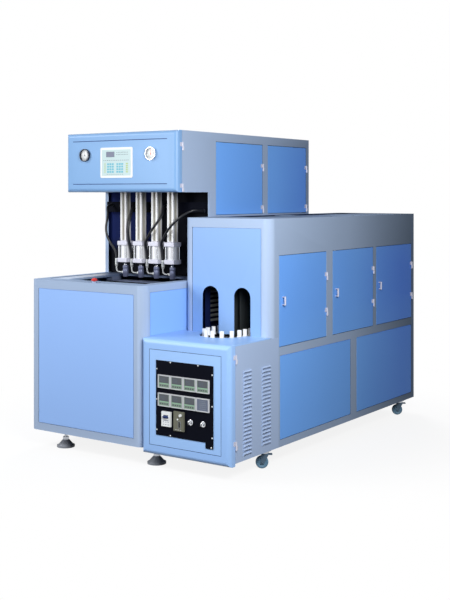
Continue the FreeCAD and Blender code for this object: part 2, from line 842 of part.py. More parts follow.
def build_gauges():
    """Two pressure gauge cases with a recessed dial, their needles, and the keypad panel."""
    cases = []
    labels = ("gauge_needle_left", "gauge_needle_right")
    front = HEADER_Y - d.gauge_bezel
    dial = front + d.gauge_recess
    for (x, z), label in zip(gauge_places(), labels):
        bezel = cylinder(x, front, z, d.gauge_radius, d.gauge_bezel, "y")
        body = cylinder(x, HEADER_Y, z, d.gauge_body_radius, d.gauge_body_depth, "y")
        recess = cylinder(x, front - PAST, z, d.gauge_radius - d.gauge_rim, d.gauge_recess + PAST, "y")
        pin = cylinder(x, dial - d.gauge_recess / 2, z, d.needle_pin_radius, d.gauge_recess / 2 + PAST, "y")
        cases.append(fuse(cut(fuse(bezel, body), recess), pin))
        half = d.needle_width / 2
        near = dial - d.running_gap - d.needle_thickness
        pointer = box(x - half, x + half, near, near + d.needle_thickness, z, z + d.needle_length)
        tail = box(x - half, x + half, near, near + d.needle_thickness, z - d.needle_tail, z)
        hub = cylinder(x, near, z, d.needle_hub, d.needle_thickness, "y")
        bore = cylinder(x, near - PAST, z, d.needle_pin_radius + d.hinge_pin_gap,
                        d.needle_thickness + 2 * PAST, "y")
        upright = cut(fuse(hub, pointer, tail), bore)
        node(label, upright)
    node("gauge_cases", group(cases))
    x0 = BX0 + d.keypad_left
    top = TOWER_TOP - d.keypad_drop
    plate = rounded(box(x0, x0 + d.keypad_width, HEADER_Y - d.keypad_thickness, HEADER_Y,
                        top - d.keypad_height, top), d.keypad_corner,
                    "left_top", "left_bottom", "right_top", "right_bottom")
    node("keypad_panel", plate)


# ---------------------------------------------------------------- blow station
NOZZLE_TOP = NOZZLE_BOTTOM + d.nozzle_length
SEAL_TOP = STRETCH_BOTTOM
BEAM_BOTTOM = HEADER_BOTTOM + d.beam_above_header
ROD_TIP = NOZZLE_BOTTOM + d.table_thickness


def square(x, y, width, z0, z1):
    """A square bar about an upright axis."""
    half = width / 2
    return box(x - half, x + half, y - half, y + half, z0, z1)


def build_stretch_cylinders():
    """Square stretch cylinders with a slot down each side, bored for the piston, hanging from the beam."""
    bodies = []
    half, slot, deep = d.stretch_profile / 2, d.stretch_slot_width / 2, d.stretch_slot_depth
    low, high = STRETCH_BOTTOM - PAST, STRETCH_TOP + PAST
    for x in STATIONS:
        body = square(x, STATION_Y, d.stretch_profile, STRETCH_BOTTOM, STRETCH_TOP)
        bore = cylinder(x, STATION_Y, STRETCH_BOTTOM + d.stretch_wall, d.stretch_bore,
                        STRETCH_TOP - STRETCH_BOTTOM - 2 * d.stretch_wall)
        passage = cylinder(x, STATION_Y, low, d.rod_radius + d.rod_gap, d.stretch_wall + 2 * PAST)
        slots = [box(x - slot, x + slot, STATION_Y - half - PAST, STATION_Y - half + deep, low, high),
                 box(x - slot, x + slot, STATION_Y + half - deep, STATION_Y + half + PAST, low, high),
                 box(x - half - PAST, x - half + deep, STATION_Y - slot, STATION_Y + slot, low, high),
                 box(x + half - deep, x + half + PAST, STATION_Y - slot, STATION_Y + slot, low, high)]
        bodies.append(cut(body, bore, passage, *slots))
    node("stretch_cylinders", group(bodies))


def build_beam():
    """The beam in the header that the cylinders pass through and hang from."""
    half = d.beam_depth / 2
    bar = box(BX0 + WALL, BX1 - WALL, STATION_Y - half, STATION_Y + half, BEAM_BOTTOM,
              BEAM_BOTTOM + d.beam_height)
    holes = [square(x, STATION_Y, d.stretch_profile, BEAM_BOTTOM - PAST, BEAM_BOTTOM + d.beam_height + PAST)
             for x in STATIONS]
    node("cylinder_beam", cut(bar, *holes))


def build_seal_cylinders():
    """Short cylinders with square caps, a round barrel and four tie rods."""
    bodies = []
    for x in STATIONS:
        low = square(x, STATION_Y, d.seal_cap, SEAL_BOTTOM, SEAL_BOTTOM + d.seal_cap_height)
        high = square(x, STATION_Y, d.seal_cap, SEAL_TOP - d.seal_cap_height, SEAL_TOP)
        barrel = cylinder(x, STATION_Y, SEAL_BOTTOM, d.seal_barrel_radius, SEAL_TOP - SEAL_BOTTOM)
        reach = d.seal_cap / 2 - d.seal_tie_inset
        ties = [cylinder(x + side * reach, STATION_Y + end * reach, SEAL_BOTTOM, d.seal_tie_radius,
                         SEAL_TOP - SEAL_BOTTOM) for side in (-1, 1) for end in (-1, 1)]
        bore = cylinder(x, STATION_Y, SEAL_BOTTOM + d.seal_cap_height / 2, d.seal_bore,
                        SEAL_TOP - SEAL_BOTTOM - d.seal_cap_height)
        mouth = cylinder(x, STATION_Y, SEAL_BOTTOM - PAST, d.nozzle_rod_radius + d.running_gap,
                         d.seal_cap_height + PAST)
        passage = cylinder(x, STATION_Y, SEAL_TOP - d.seal_cap_height, d.rod_radius + d.rod_gap,
                           d.seal_cap_height + PAST)
        bodies.append(cut(fuse(low, high, barrel, *ties), bore, mouth, passage))
    node("seal_cylinders", group(bodies))


def build_nozzles():
    """Blow nozzles on hollow rods with a piston inside the sealing cylinder, and their elbows."""
    nozzles, elbows = [], []
    piston_bottom = SEAL_BOTTOM + d.seal_cap_height / 2 + d.nozzle_stroke + 2 * d.running_gap
    piston_height = d.seal_cap_height
    for x in STATIONS:
        body = cylinder(x, STATION_Y, NOZZLE_BOTTOM, d.nozzle_radius, d.nozzle_length)
        rod = cylinder(x, STATION_Y, NOZZLE_TOP, d.nozzle_rod_radius, piston_bottom - NOZZLE_TOP)
        piston = cylinder(x, STATION_Y, piston_bottom, d.seal_bore - d.running_gap, piston_height)
        bore = cylinder(x, STATION_Y, NOZZLE_BOTTOM - PAST, d.rod_radius + d.rod_gap,
                        piston_bottom + piston_height - NOZZLE_BOTTOM + 2 * PAST)
        z = NOZZLE_BOTTOM + d.elbow_height
        side = x - d.nozzle_radius + d.elbow_seat
        seat = cylinder(x - d.nozzle_radius - PAST, STATION_Y, z, d.elbow_radius, d.elbow_seat + PAST, "x")
        nozzles.append(cut(fuse(body, rod, piston), bore, seat))
        nut_bottom = ELBOW_TOP - d.elbow_nut_height
        route = [(side, STATION_Y, z), (x - d.elbow_reach, STATION_Y, z),
                 (x - d.elbow_reach, STATION_Y, nut_bottom)]
        pipe = feature("elbow_pipe", tube_shape(route, d.elbow_radius, float(d.elbow_bend))[0])
        nut = hexagon(x - d.elbow_reach, STATION_Y, nut_bottom, d.elbow_nut_radius, d.elbow_nut_height)
        elbows.append(fuse(pipe, nut))
    node("blow_nozzles", group(nozzles))
    node("nozzle_elbows", group(elbows))


def build_stretch_rods():
    """Stretch rods, drawn up, each with its piston near the top of its cylinder."""
    rods = []
    piston_top = STRETCH_TOP - d.stretch_wall - d.running_gap
    for x in STATIONS:
        rod = cylinder(x, STATION_Y, ROD_TIP, d.rod_radius, piston_top - ROD_TIP)
        piston = cylinder(x, STATION_Y, piston_top - d.rod_piston_height, d.stretch_bore - d.running_gap,
                          d.rod_piston_height)
        rods.append(fuse(rod, piston))
    node("stretch_rods", group(rods))


# hose routes: offsets in X, Y and Z from the top of each hose's elbow
HOSE_ROUTES = [
    [(0, 0, 0), (0, 0, 44), (-44, -36, 122), (-62, -44, 200), (-66, -12, 284), (-103, 19, 356)],
    [(0, 0, 0), (0, 0, 44), (-2, -28, 120), (8, -50, 205), (8, -20, 285), (-8, 19, 351)],
    [(0, 0, 0), (0, 0, 50), (4, -28, 112), (50, -44, 164), (123, -70, 232), (160, -36, 292), (119, 19, 356)],
    [(0, 0, 0), (0, 0, 50), (6, -28, 112), (46, -46, 160), (122, -70, 232), (206, -60, 296), (262, -20, 330),
     (276, 19, 322)],
]
MANIFOLD_Y = BACK_WALL_Y - d.manifold_depth


def hose_points(index):
    """The route of one hose, from the elbow's top to its port on the manifold."""
    start = STATIONS[index] - d.elbow_reach
    points = [(float(start) + dx, float(STATION_Y) + dy, float(ELBOW_TOP) + dz)
              for dx, dy, dz in HOSE_ROUTES[index]]
    x, _, z = points[-1]
    points.append((x, float(MANIFOLD_Y - d.port_length), z))
    return points


def build_hoses():
    """Air hoses from the elbows up to the manifold."""
    hoses = []
    for index in range(len(HOSE_ROUTES)):
        solid, length, radii = tube_shape(hose_points(index), d.hose_radius)
        area = math.pi * float(d.hose_radius) ** 2
        print(f"hose {index + 1}: length {length:.0f}, volume ratio {solid.Volume / (area * length):.4f},",
              "radii", [round(value) for value in radii])
        hoses.append(feature("hose", solid))
    node("air_hoses", group(hoses))


def build_manifold():
    """Air manifold bar on the back wall, with a port at each hose's end."""
    bar = box(BX0 + d.left_lip + d.panel_gap, BX1 - WALL - d.panel_gap, MANIFOLD_Y, BACK_WALL_Y,
              MANIFOLD_BOTTOM, MANIFOLD_BOTTOM + d.manifold_height)
    ports = []
    for index in range(len(HOSE_ROUTES)):
        x, _, z = hose_points(index)[-1]
        ports.append(cylinder(x, MANIFOLD_Y - d.port_length, z, d.port_radius, d.port_length + PAST, "y"))
    node("air_manifold", fuse(bar, *ports))


# ---------------------------------------------------------------- mould area
NECK_BOTTOM = NECK_TOP - d.neck_thickness
MOULD_TOP = NECK_BOTTOM - d.mould_gap
MOULD_BOTTOM = MOULD_TOP - d.mould_height
SHOULDER_BOTTOM = MOULD_TOP - d.bottle_neck_length - d.bottle_shoulder
MIDDLE_X = (BX0 + BX1) / 2
PLATEN_Z = MOULD_TOP - d.mould_height / 2


def cavity(x):
    """The space of one square bottle, its sloping shoulder and its round neck."""
    body = square(x, STATION_Y, d.bottle_width, SHOULDER_BOTTOM - d.bottle_length, SHOULDER_BOTTOM)
    shoulder = spire(x, STATION_Y, SHOULDER_BOTTOM, d.bottle_width, d.bottle_neck_radius * 2,
                     d.bottle_shoulder)
    neck = cylinder(x, STATION_Y, MOULD_TOP - d.bottle_neck_length, d.bottle_neck_radius,
                    d.bottle_neck_length + PAST)
    return fuse(body, shoulder, neck)


def tie_bar_places():
    """The four tie bars about the moulds."""
    reach_x = d.platen_width / 2 - d.tie_bar_inset
    reach_z = d.platen_height / 2 - d.tie_bar_inset
    return [(MIDDLE_X + side * reach_x, PLATEN_Z + end * reach_z) for side in (-1, 1) for end in (-1, 1)]


def mould_half(label, side):
    """Moulds side by side on their platen, each a body block and a neck block; side is -1 at the front."""
    gap, depth = d.mould_gap / 2, d.mould_depth

    def span(near, far):
        low, high = STATION_Y + side * near, STATION_Y + side * far
        return (low, high) if side > 0 else (high, low)

    y0, y1 = span(gap, gap + depth)
    half = d.mould_width / 2
    blocks = [cut(box(x - half, x + half, y0, y1, low, high), cavity(x)) for x in STATIONS
              for low, high in ((MOULD_BOTTOM, SHOULDER_BOTTOM), (SHOULDER_BOTTOM, MOULD_TOP))]
    p0, p1 = span(gap + depth, gap + depth + d.platen_thickness)
    half, tall = d.platen_width / 2, d.platen_height / 2
    platen = box(MIDDLE_X - half, MIDDLE_X + half, p0, p1, PLATEN_Z - tall, PLATEN_Z + tall)
    holes = [cylinder(x, p0 - PAST, z, d.tie_bar_radius + d.running_gap, d.platen_thickness + 2 * PAST, "y")
             for x, z in tie_bar_places()]
    r0, r1 = span(gap + depth + d.platen_thickness,
                  d.end_plate_space + d.end_plate_thickness + d.clamp_length / 4)
    rod = cylinder(MIDDLE_X, r0, PLATEN_Z, d.clamp_rod_radius, r1 - r0, "y")
    node(label, group(blocks + [fuse(cut(platen, *holes), rod)]))


def build_clamp_frame():
    """Tie bars and end plates on legs, each plate with a clamp cylinder behind it."""
    pieces = []
    half, tall = d.platen_width / 2, d.platen_height / 2
    thick, beam = d.end_plate_thickness, d.clamp_beam
    inner, outer = STATION_Y - d.end_plate_space, STATION_Y + d.end_plate_space
    reach = thick + d.clamp_length - d.clamp_end_wall
    for y0, start, hole_start in ((inner - thick, inner - thick - d.clamp_length, inner - reach),
                                  (outer, outer + thick, outer - PAST)):
        plate = box(MIDDLE_X - half, MIDDLE_X + half, y0, y0 + thick, PLATEN_Z - tall, PLATEN_Z + tall)
        drum = cylinder(MIDDLE_X, start, PLATEN_Z, d.clamp_radius, d.clamp_length, "y")
        hole = cylinder(MIDDLE_X, hole_start, PLATEN_Z, d.clamp_rod_radius + d.running_gap, reach + PAST, "y")
        legs = [box(x - beam / 2, x + beam / 2, y0, y0 + thick, d.base_bottom + d.base_floor, PLATEN_Z - tall)
                for x in (MIDDLE_X - half + beam, MIDDLE_X + half - beam)]
        pieces.append(cut(fuse(plate, drum, *legs), hole))
    bars = [cylinder(x, inner, z, d.tie_bar_radius, outer - inner, "y") for x, z in tie_bar_places()]
    node("clamp_frame", group(pieces + bars))


def build_neck_plate():
    """The plate under the nozzles that takes the preforms' necks, hung from the table."""
    y0, y1 = STATION_Y - d.neck_length / 2, STATION_Y + d.neck_length / 2
    beam, under = d.clamp_beam, TABLE - d.base_rim_thickness - WALL
    strip = box(PIT_X0 - beam, PIT_X1 + beam, y0, y1, NECK_BOTTOM, NECK_TOP)
    hangers = [box(PIT_X0 - beam, PIT_X0, y0, y1, NECK_TOP, under),
               box(PIT_X1, PIT_X1 + beam, y0, y1, NECK_TOP, under)]
    holes = [cylinder(x, STATION_Y, NECK_BOTTOM - PAST, d.neck_hole_radius, d.neck_thickness + 2 * PAST)
             for x in STATIONS]
    node("neck_plate", cut(fuse(strip, *hangers), *holes))


# ---------------------------------------------------------------- heater shell
ARCH_X = [HX0 + d.lane_left, HX0 + d.lane_left + d.lane_spacing]
ARCH_TOP = LOW_TOP + d.arch_height
CABINET_END = TALL_Y + d.cabinet_overrun
CABINET_TOP = LOW_TOP - d.table_plate
OVEN_START, OVEN_END = TALL_Y + d.oven_front_post, HY1 - d.oven_rear_post
OVEN_DOOR = (OVEN_END - OVEN_START - d.oven_first_post - d.oven_second_post) / 3
OVEN_SECOND = OVEN_START + OVEN_DOOR + d.oven_first_post
OVEN_BOTTOM, OVEN_TOP = d.heater_bottom + d.oven_door_bottom, HEATER_TOP - d.oven_door_top
OVEN_SPANS = [(OVEN_START, OVEN_START + OVEN_DOOR, OVEN_BOTTOM, OVEN_TOP),
              (OVEN_SECOND, OVEN_SECOND + OVEN_DOOR, OVEN_BOTTOM, OVEN_TOP),
              (OVEN_END - OVEN_DOOR, OVEN_END, OVEN_BOTTOM, OVEN_TOP)]
LOWER_START, LOWER_BOTTOM = CABINET_END + d.lower_front_post, d.heater_bottom + d.lower_panel_bottom
LOWER_MIDDLE, LOWER_TOP = LOWER_START + d.lower_panel_length, OVEN_BOTTOM - d.oven_rail
LOWER_SPANS = [(LOWER_START, LOWER_MIDDLE, LOWER_BOTTOM, LOWER_TOP),
               (LOWER_MIDDLE + d.lower_mid_post, HY1 - d.lower_rear_post, LOWER_BOTTOM, LOWER_TOP)]
HEATER_REAR_SPAN = (HX0 + d.front_frame, HX1 - d.front_frame, LOWER_BOTTOM, HEATER_TOP - d.front_frame_top)
OVEN_HINGES = (OVEN_BOTTOM + d.oven_hinge_inset, OVEN_TOP - d.oven_hinge_inset)
CONTROL_HINGES = (d.heater_bottom + d.control_hinge_low, LOW_TOP - d.control_hinge_high)
FRONT_SPAN = (HX0 + d.front_frame, HX1 - d.front_frame, LOW_TOP, HEATER_TOP - d.front_frame_top)


def vent_spans():
    """The top openings, as x0, x1, y0, y1; the last one ends short of the rear wall."""
    x0 = HX0 + d.vent_place
    pitch = d.vent_length + d.vent_bar
    starts = [TALL_Y + d.vent_start + index * pitch for index in range(int(d.vent_count))]
    ends = [start + d.vent_length for start in starts[:-1]] + [HY1 - d.vent_rear_margin]
    return [(x0, x0 + d.vent_width, start, end) for start, end in zip(starts, ends)]


def build_heater_shell():
    """Tall folded sheet shell, rounded at the front above the table, with windows for doors and panels."""
    upper = rounded(box(HX0, HX1, TALL_Y, HY1, CABINET_TOP, HEATER_TOP), d.corner_radius,
                    "front_left", "front_right")
    lower = box(HX0, HX1, CABINET_END, HY1, d.heater_bottom, LOW_TOP)
    upper_room = rounded(box(HX0 + WALL, HX1 - WALL, TALL_Y + WALL, HY1 - WALL, CABINET_TOP - PAST,
                             HEATER_TOP - WALL), d.corner_radius - WALL, "front_left", "front_right")
    lower_room = box(HX0 + WALL, HX1 - WALL, CABINET_END - PAST, HY1 - WALL, d.heater_bottom + d.heater_floor,
                     LOW_TOP + PAST)
    low, high, _, top = FRONT_SPAN
    front = window(("front", TALL_Y), WALL, (low, high, CABINET_TOP - PAST, top))
    sides = [window(("right", HX1), WALL, span) for span in OVEN_SPANS + LOWER_SPANS]
    lefts = [window(("left", HX0), WALL, span) for span in LOWER_SPANS]
    rear = window(("rear", HY1), WALL, HEATER_REAR_SPAN)
    vents = [box(*span, HEATER_TOP - WALL - PAST, HEATER_TOP + PAST) for span in vent_spans()]
    node("heater_shell", cut(fuse(upper, lower), upper_room, lower_room, front, rear, *sides, *lefts, *vents))


def build_heater_front():
    """The front panel above the table, with two arched slots for the preforms."""
    face = ("front", TALL_Y)
    low, high, bottom, top = FRONT_SPAN
    gap, lap = d.panel_gap, d.flange_lap
    plate = in_face(face, 0, WALL, low + gap, high - gap, bottom, top - gap)
    flange = in_face(face, WALL, 2 * WALL, low - lap, high + lap, bottom, top + lap)
    tools = []
    half = d.arch_width / 2
    for x in ARCH_X:
        jamb_end = TALL_Y + 2 * WALL + PAST
        tools.append(box(x - half, x + half, TALL_Y - PAST, jamb_end, LOW_TOP - PAST, ARCH_TOP - half))
        tools.append(cylinder(x, TALL_Y - PAST, ARCH_TOP - half, half, 2 * WALL + 2 * PAST, "y"))
    node("heater_front_panel", cut(fuse(plate, flange), *tools))


def build_heater_panels():
    """Three oven doors, the fixed lower panels, the rear panel and the top vents."""
    pull_place = (OVEN_BOTTOM + OVEN_TOP) / 2
    for label, span in zip(("oven_door_front", "oven_door_middle", "oven_door_rear"), OVEN_SPANS):
        node(label, side_door(HX1, span, OVEN_HINGES, pull_place))
    fixed = [cover(("right", HX1), WALL, span) for span in LOWER_SPANS]
    fixed += [cover(("left", HX0), WALL, span) for span in LOWER_SPANS]
    fixed.append(cover(("rear", HY1), WALL, HEATER_REAR_SPAN))
    node("heater_fixed_panels", group(fixed))
    grilles = []
    for x0, x1, y0, y1 in vent_spans():
        lap = d.flange_lap
        bottom = HEATER_TOP - WALL - d.vent_thickness
        plate = box(x0 - lap, x1 + lap, y0 - lap / 2, y1 + lap / 2, bottom, HEATER_TOP - WALL)
        pitch = (x1 - x0) / d.vent_slats
        slots = [box(x0 + pitch * (index + 0.5) - d.vent_slat_width / 2,
                     x0 + pitch * (index + 0.5) + d.vent_slat_width / 2,
                     y0 + lap, y1 - lap, bottom - PAST, HEATER_TOP + PAST)
                 for index in range(int(d.vent_slats))]
        grilles.append(cut(plate, *slots))
    node("vent_grilles", group(grilles))


# ---------------------------------------------------------------- control cabinet
def build_control_cabinet():
    """Low sheet cabinet in front of the oven, with pressed louvres in its right wall."""
    start = CONTROL_SEAM + d.panel_gap / 2
    radius, floor = d.louvre_radius, d.heater_bottom + d.heater_floor
    block = box(HX0, HX1, start, CABINET_END, d.heater_bottom, CABINET_TOP)
    inside = box(HX0 + WALL, HX1 - WALL, start - PAST, CABINET_END + PAST, floor, CABINET_TOP + PAST)
    ribs, slots = [], []
    columns = ((d.louvre_start, d.louvre_length, d.louvre_bottom, d.louvre_rows),
               (d.louvre_second_start, d.louvre_second_length, d.louvre_second_bottom, d.louvre_short_rows))
    for place_y, length, bottom, rows in columns:
        for index in range(int(rows)):
            y, z = HY0 + place_y, d.heater_bottom + bottom + index * d.louvre_pitch
            ribs.append(cylinder(HX1, y, z, radius, length, "y"))
            slots.append(box(HX1 - 2 * radius, HX1 + 2 * radius, y + WALL, y + length - WALL,
                             z - d.louvre_slot, z))
    node("control_cabinet", cut(fuse(block, *ribs), inside, *slots))


def build_heater_table():
    """Table plate over the control cabinet, open where the chain turns in front of the oven."""
    bottom = LOW_TOP - d.table_plate
    reach = d.lane_spacing / 2 + d.mandrel_base_radius + d.slot_clearance
    x, y = HX0 + d.lane_left + d.lane_spacing / 2, TALL_Y - d.sprocket_before_oven
    plate = box(HX0, HX1, CONTROL_SEAM + d.panel_gap / 2, TALL_Y, bottom, LOW_TOP)
    turn = cylinder(x, y, bottom - PAST, reach, d.table_plate + 2 * PAST)
    run = box(x - reach, x + reach, y, TALL_Y + PAST, bottom - PAST, LOW_TOP + PAST)
    node("heater_table", cut(plate, turn, run))


def build_control_door():
    """Deep door with rounded edges, a rectangular groove and the hinge knuckles."""
    skin = d.control_door_skin
    back = CONTROL_SEAM - d.panel_gap / 2
    bottom = d.heater_bottom - d.control_door_drop
    outer_box = box(HX0, HX1, HY0, back, bottom, LOW_TOP)
    block = rounded(outer_box, d.control_door_edge, "front_left", "front_right", "front_top", "front_bottom")
    hollow = rounded(box(HX0 + skin, HX1 - skin, HY0 + skin, back + d.control_door_edge,
                         bottom + skin, LOW_TOP - skin), d.control_door_edge - skin,
                     "front_left", "front_right", "front_top", "front_bottom")
    inset, wide = d.control_groove_inset, d.control_groove_width / 2
    front, deep = HY0 - PAST, HY0 + d.door_groove_depth
    x0, x1 = HX0 + inset, HX1 - inset
    z0, z1 = d.heater_bottom + d.control_groove_bottom, LOW_TOP - inset
    outline = cut(box(x0 - wide, x1 + wide, front, deep, z0 - wide, z1 + wide),
                  box(x0, x1, front - PAST, deep + PAST, z0, z1))
    pan = cut(block, hollow, outline)
    hinges = [hinge_moving(HX1, CONTROL_SEAM, z) for z in CONTROL_HINGES]
    node("control_door", fuse(pan, *hinges))


PLATE_X = HX0 + d.plate_left
PLATE_Y = HY0 - d.plate_thickness
PLATE_Z = d.heater_bottom + d.plate_bottom


def build_control_plate():
    """Black front plate with a small tab at its lower right corner."""
    main = box(PLATE_X, PLATE_X + d.plate_width, PLATE_Y, HY0, PLATE_Z, PLATE_Z + d.plate_height)
    tab = box(PLATE_X + d.plate_width - d.tab_width, PLATE_X + d.plate_width, PLATE_Y, HY0,
              PLATE_Z - d.tab_height, PLATE_Z)
    node("control_plate", fuse(main, tab))


def build_instruments():
    """Eight temperature controllers, the breaker and the voltage regulator."""
    pieces = []
    for row_index in range(int(d.meter_rows)):
        for column in range(int(d.meter_columns)):
            x = PLATE_X + d.meter_left + column * d.meter_pitch
            z = PLATE_Z + d.meter_bottom + row_index * d.meter_row_pitch
            case = box(x, x + d.meter_width, PLATE_Y - d.meter_depth, PLATE_Y, z, z + d.meter_height)
            rim = d.meter_rim
            recess = box(x + rim, x + d.meter_width - rim, PLATE_Y - d.meter_depth - PAST,
                         PLATE_Y - d.meter_depth + d.meter_recess, z + rim, z + d.meter_height - rim)
            pieces.append(cut(case, recess))
    x, z = PLATE_X + d.breaker_left, PLATE_Z + d.breaker_bottom
    case = box(x, x + d.breaker_width, PLATE_Y - d.breaker_depth, PLATE_Y, z, z + d.breaker_height)
    tx, tz = toggle_axis()
    slot_half = d.toggle_width / 2 + d.running_gap
    slot = box(tx - slot_half, tx + slot_half, PLATE_Y - d.breaker_depth - PAST, PLATE_Y - WALL,
               tz - d.toggle_height, tz + d.toggle_height)
    pieces.append(cut(case, slot))
    x, z = PLATE_X + d.dimmer_left, PLATE_Z + d.dimmer_bottom
    body = box(x, x + d.dimmer_width, PLATE_Y - d.dimmer_depth, PLATE_Y, z, z + d.dimmer_height)
    kx, kz = dimmer_knob_place()
    hole = cylinder(kx, PLATE_Y - d.dimmer_depth - PAST, kz, d.knob_stem_radius + d.running_gap,
                    d.dimmer_depth + PAST, "y")
    pieces.append(cut(body, hole))
    for left in (d.selector_left, d.selector_second_left):
        pieces.append(ring(PLATE_X + left, PLATE_Y - d.selector_ring, PLATE_Z + d.selector_bottom,
                           d.selector_radius, d.selector_knob_radius + d.running_gap, d.selector_ring, "y"))
    node("panel_instruments", group(pieces))


def toggle_axis():
    """Centre of the breaker's toggle."""
    x = PLATE_X + d.breaker_left + d.breaker_width / 2
    return x, PLATE_Z + d.breaker_bottom + d.toggle_bottom


def dimmer_knob_place():
    """Centre of the small knob on the voltage regulator."""
    return PLATE_X + d.dimmer_left + d.dimmer_knob_left, PLATE_Z + d.dimmer_bottom + d.dimmer_knob_bottom


def build_switches():
    """Breaker toggle, regulator knob and the two selector knobs with their rings."""
    tx, tz = toggle_axis()
    face = PLATE_Y - d.breaker_depth
    half = d.toggle_width / 2
    barrel_radius = d.toggle_height / 2 - d.running_gap
    y_axis = face + barrel_radius + d.running_gap
    barrel = cylinder(tx - half, y_axis, tz, barrel_radius, d.toggle_width, "x")
    lever = box(tx - half, tx + half, face - d.toggle_reach, y_axis,
                tz - barrel_radius / 2, tz + barrel_radius / 2)
    node("breaker_toggle", fuse(barrel, lever))
    kx, kz = dimmer_knob_place()
    knob_back = PLATE_Y - d.dimmer_depth - d.running_gap
    knob = cylinder(kx, knob_back - d.dimmer_knob_length, kz, d.dimmer_knob_radius, d.dimmer_knob_length, "y")
    stem = cylinder(kx, knob_back - PAST, kz, d.knob_stem_radius, d.dimmer_depth + PAST, "y")
    knob_front, mark_half = knob_back - d.dimmer_knob_length, d.dimmer_mark_width / 2
    mark = box(kx - mark_half, kx + mark_half, knob_front - d.dimmer_mark_height, knob_front,
               kz, kz + d.dimmer_knob_radius)
    node("regulator_knob", fuse(knob, stem, mark))
    for label, left in (("selector_knob_left", d.selector_left),
                        ("selector_knob_right", d.selector_second_left)):
        x, z = PLATE_X + left, PLATE_Z + d.selector_bottom
        ring_front = PLATE_Y - d.selector_ring
        grip = d.selector_length
        body = cylinder(x, ring_front, z, d.selector_knob_radius, d.selector_ring - d.running_gap, "y")
        wide, tall = d.selector_bar_width / 2, d.selector_bar_height / 2
        bar = box(x - wide, x + wide, ring_front - grip, PLATE_Y - d.running_gap, z - tall, z + tall)
        node(label, fuse(body, bar))


# ---------------------------------------------------------------- chain line
LOOP_RADIUS = d.lane_spacing / 2
LOOP_X = HX0 + d.lane_left + LOOP_RADIUS
FRONT_SPROCKET_Y = TALL_Y - d.sprocket_before_oven
HALF_TOOTH = math.pi / float(d.sprocket_teeth)
CHAIN_PITCH = d.lane_spacing * math.sin(HALF_TOOTH)
STRAIGHT_PITCHES = int(float(HY1 - d.sprocket_rear_room - FRONT_SPROCKET_Y) / float(CHAIN_PITCH))
REAR_SPROCKET_Y = FRONT_SPROCKET_Y + CHAIN_PITCH * STRAIGHT_PITCHES
DECK_TOP = LOW_TOP - d.deck_drop
DECK_BOTTOM = DECK_TOP - d.track_thickness
SPROCKET_TOP = LOW_TOP - d.sprocket_drop
SPROCKET_BOTTOM = SPROCKET_TOP - d.sprocket_thickness
WHEEL_RADIUS = LOOP_RADIUS - d.roller_radius - d.running_gap
LOW_LINK = SPROCKET_TOP + d.link_gap
HIGH_LINK = LOW_LINK + d.link_thickness + d.running_gap
LINK_TOP = HIGH_LINK + d.link_thickness + d.running_gap


def chain_places():
    """Centres of the chain's pins, once around the loop."""
    pitch, count = float(CHAIN_PITCH), STRAIGHT_PITCHES
    radius, x = float(LOOP_RADIUS), float(LOOP_X)
    front, rear = float(FRONT_SPROCKET_Y), float(REAR_SPROCKET_Y)
    half_turn = int(d.sprocket_teeth) // 2
    arc = [(radius * math.cos(2 * HALF_TOOTH * index), radius * math.sin(2 * HALF_TOOTH * index))
           for index in range(half_turn)]
    places = [(x + radius, front + index * pitch) for index in range(count)]
    places += [(x + dx, rear + dy) for dx, dy in arc]
    places += [(x - radius, rear - index * pitch) for index in range(count)]
    places += [(x - dx, front - dy) for dx, dy in arc]
    return places


def link_shape(first, last, bottom, bored):
    """A round-ended link plate between two pin centres, bored for the pins where it rides on them."""
    start, end = FreeCAD.Vector(*first, bottom), FreeCAD.Vector(*last, bottom)
    up = FreeCAD.Vector(0, 0, 1)
    side = (end - start).normalize().cross(up) * float(d.link_width / 2)
    thick = float(d.link_thickness)
    outline = Part.makePolygon([start + side, end + side, end - side, start - side, start + side])
    shape = Part.Face(outline).extrude(up * thick)
    shape = shape.fuse([Part.makeCylinder(float(d.link_width / 2), thick, point) for point in (start, end)])
    if bored:
        bore = float(d.roller_radius - d.pin_step + d.hinge_pin_gap)
        holes = [Part.makeCylinder(bore, thick + 2 * PAST, point - up * PAST) for point in (start, end)]
        shape = shape.cut(holes)
    return shape.removeSplitter()


def pin_shapes(place):
    """The roller, pin and mandrel that stand on one pin centre."""
    column = [(d.roller_radius, SPROCKET_BOTTOM, LOW_LINK),
              (d.roller_radius - d.pin_step, LOW_LINK, LINK_TOP),
              (d.mandrel_base_radius, LINK_TOP, LINK_TOP + d.mandrel_base_height),
              (d.mandrel_radius, LINK_TOP + d.mandrel_base_height, LINK_TOP + d.mandrel_height)]
    return [Part.makeCylinder(float(radius), float(high - low), FreeCAD.Vector(*place, float(low)))
            for radius, low, high in column]


def build_chain():
    """Carrier chain: low links that hold the pins and mandrels, high links bored to ride on them."""
    places = chain_places()
    links = []
    for index, place_here in enumerate(places):
        following = places[(index + 1) % len(places)]
        if index % 2:
            links.append(link_shape(place_here, following, float(HIGH_LINK), True))
        else:
            plate = link_shape(place_here, following, float(LOW_LINK), False)
            links.append(plate.fuse(pin_shapes(place_here) + pin_shapes(following)).removeSplitter())
    node("mandrel_chain", feature("chain", Part.makeCompound(links)))


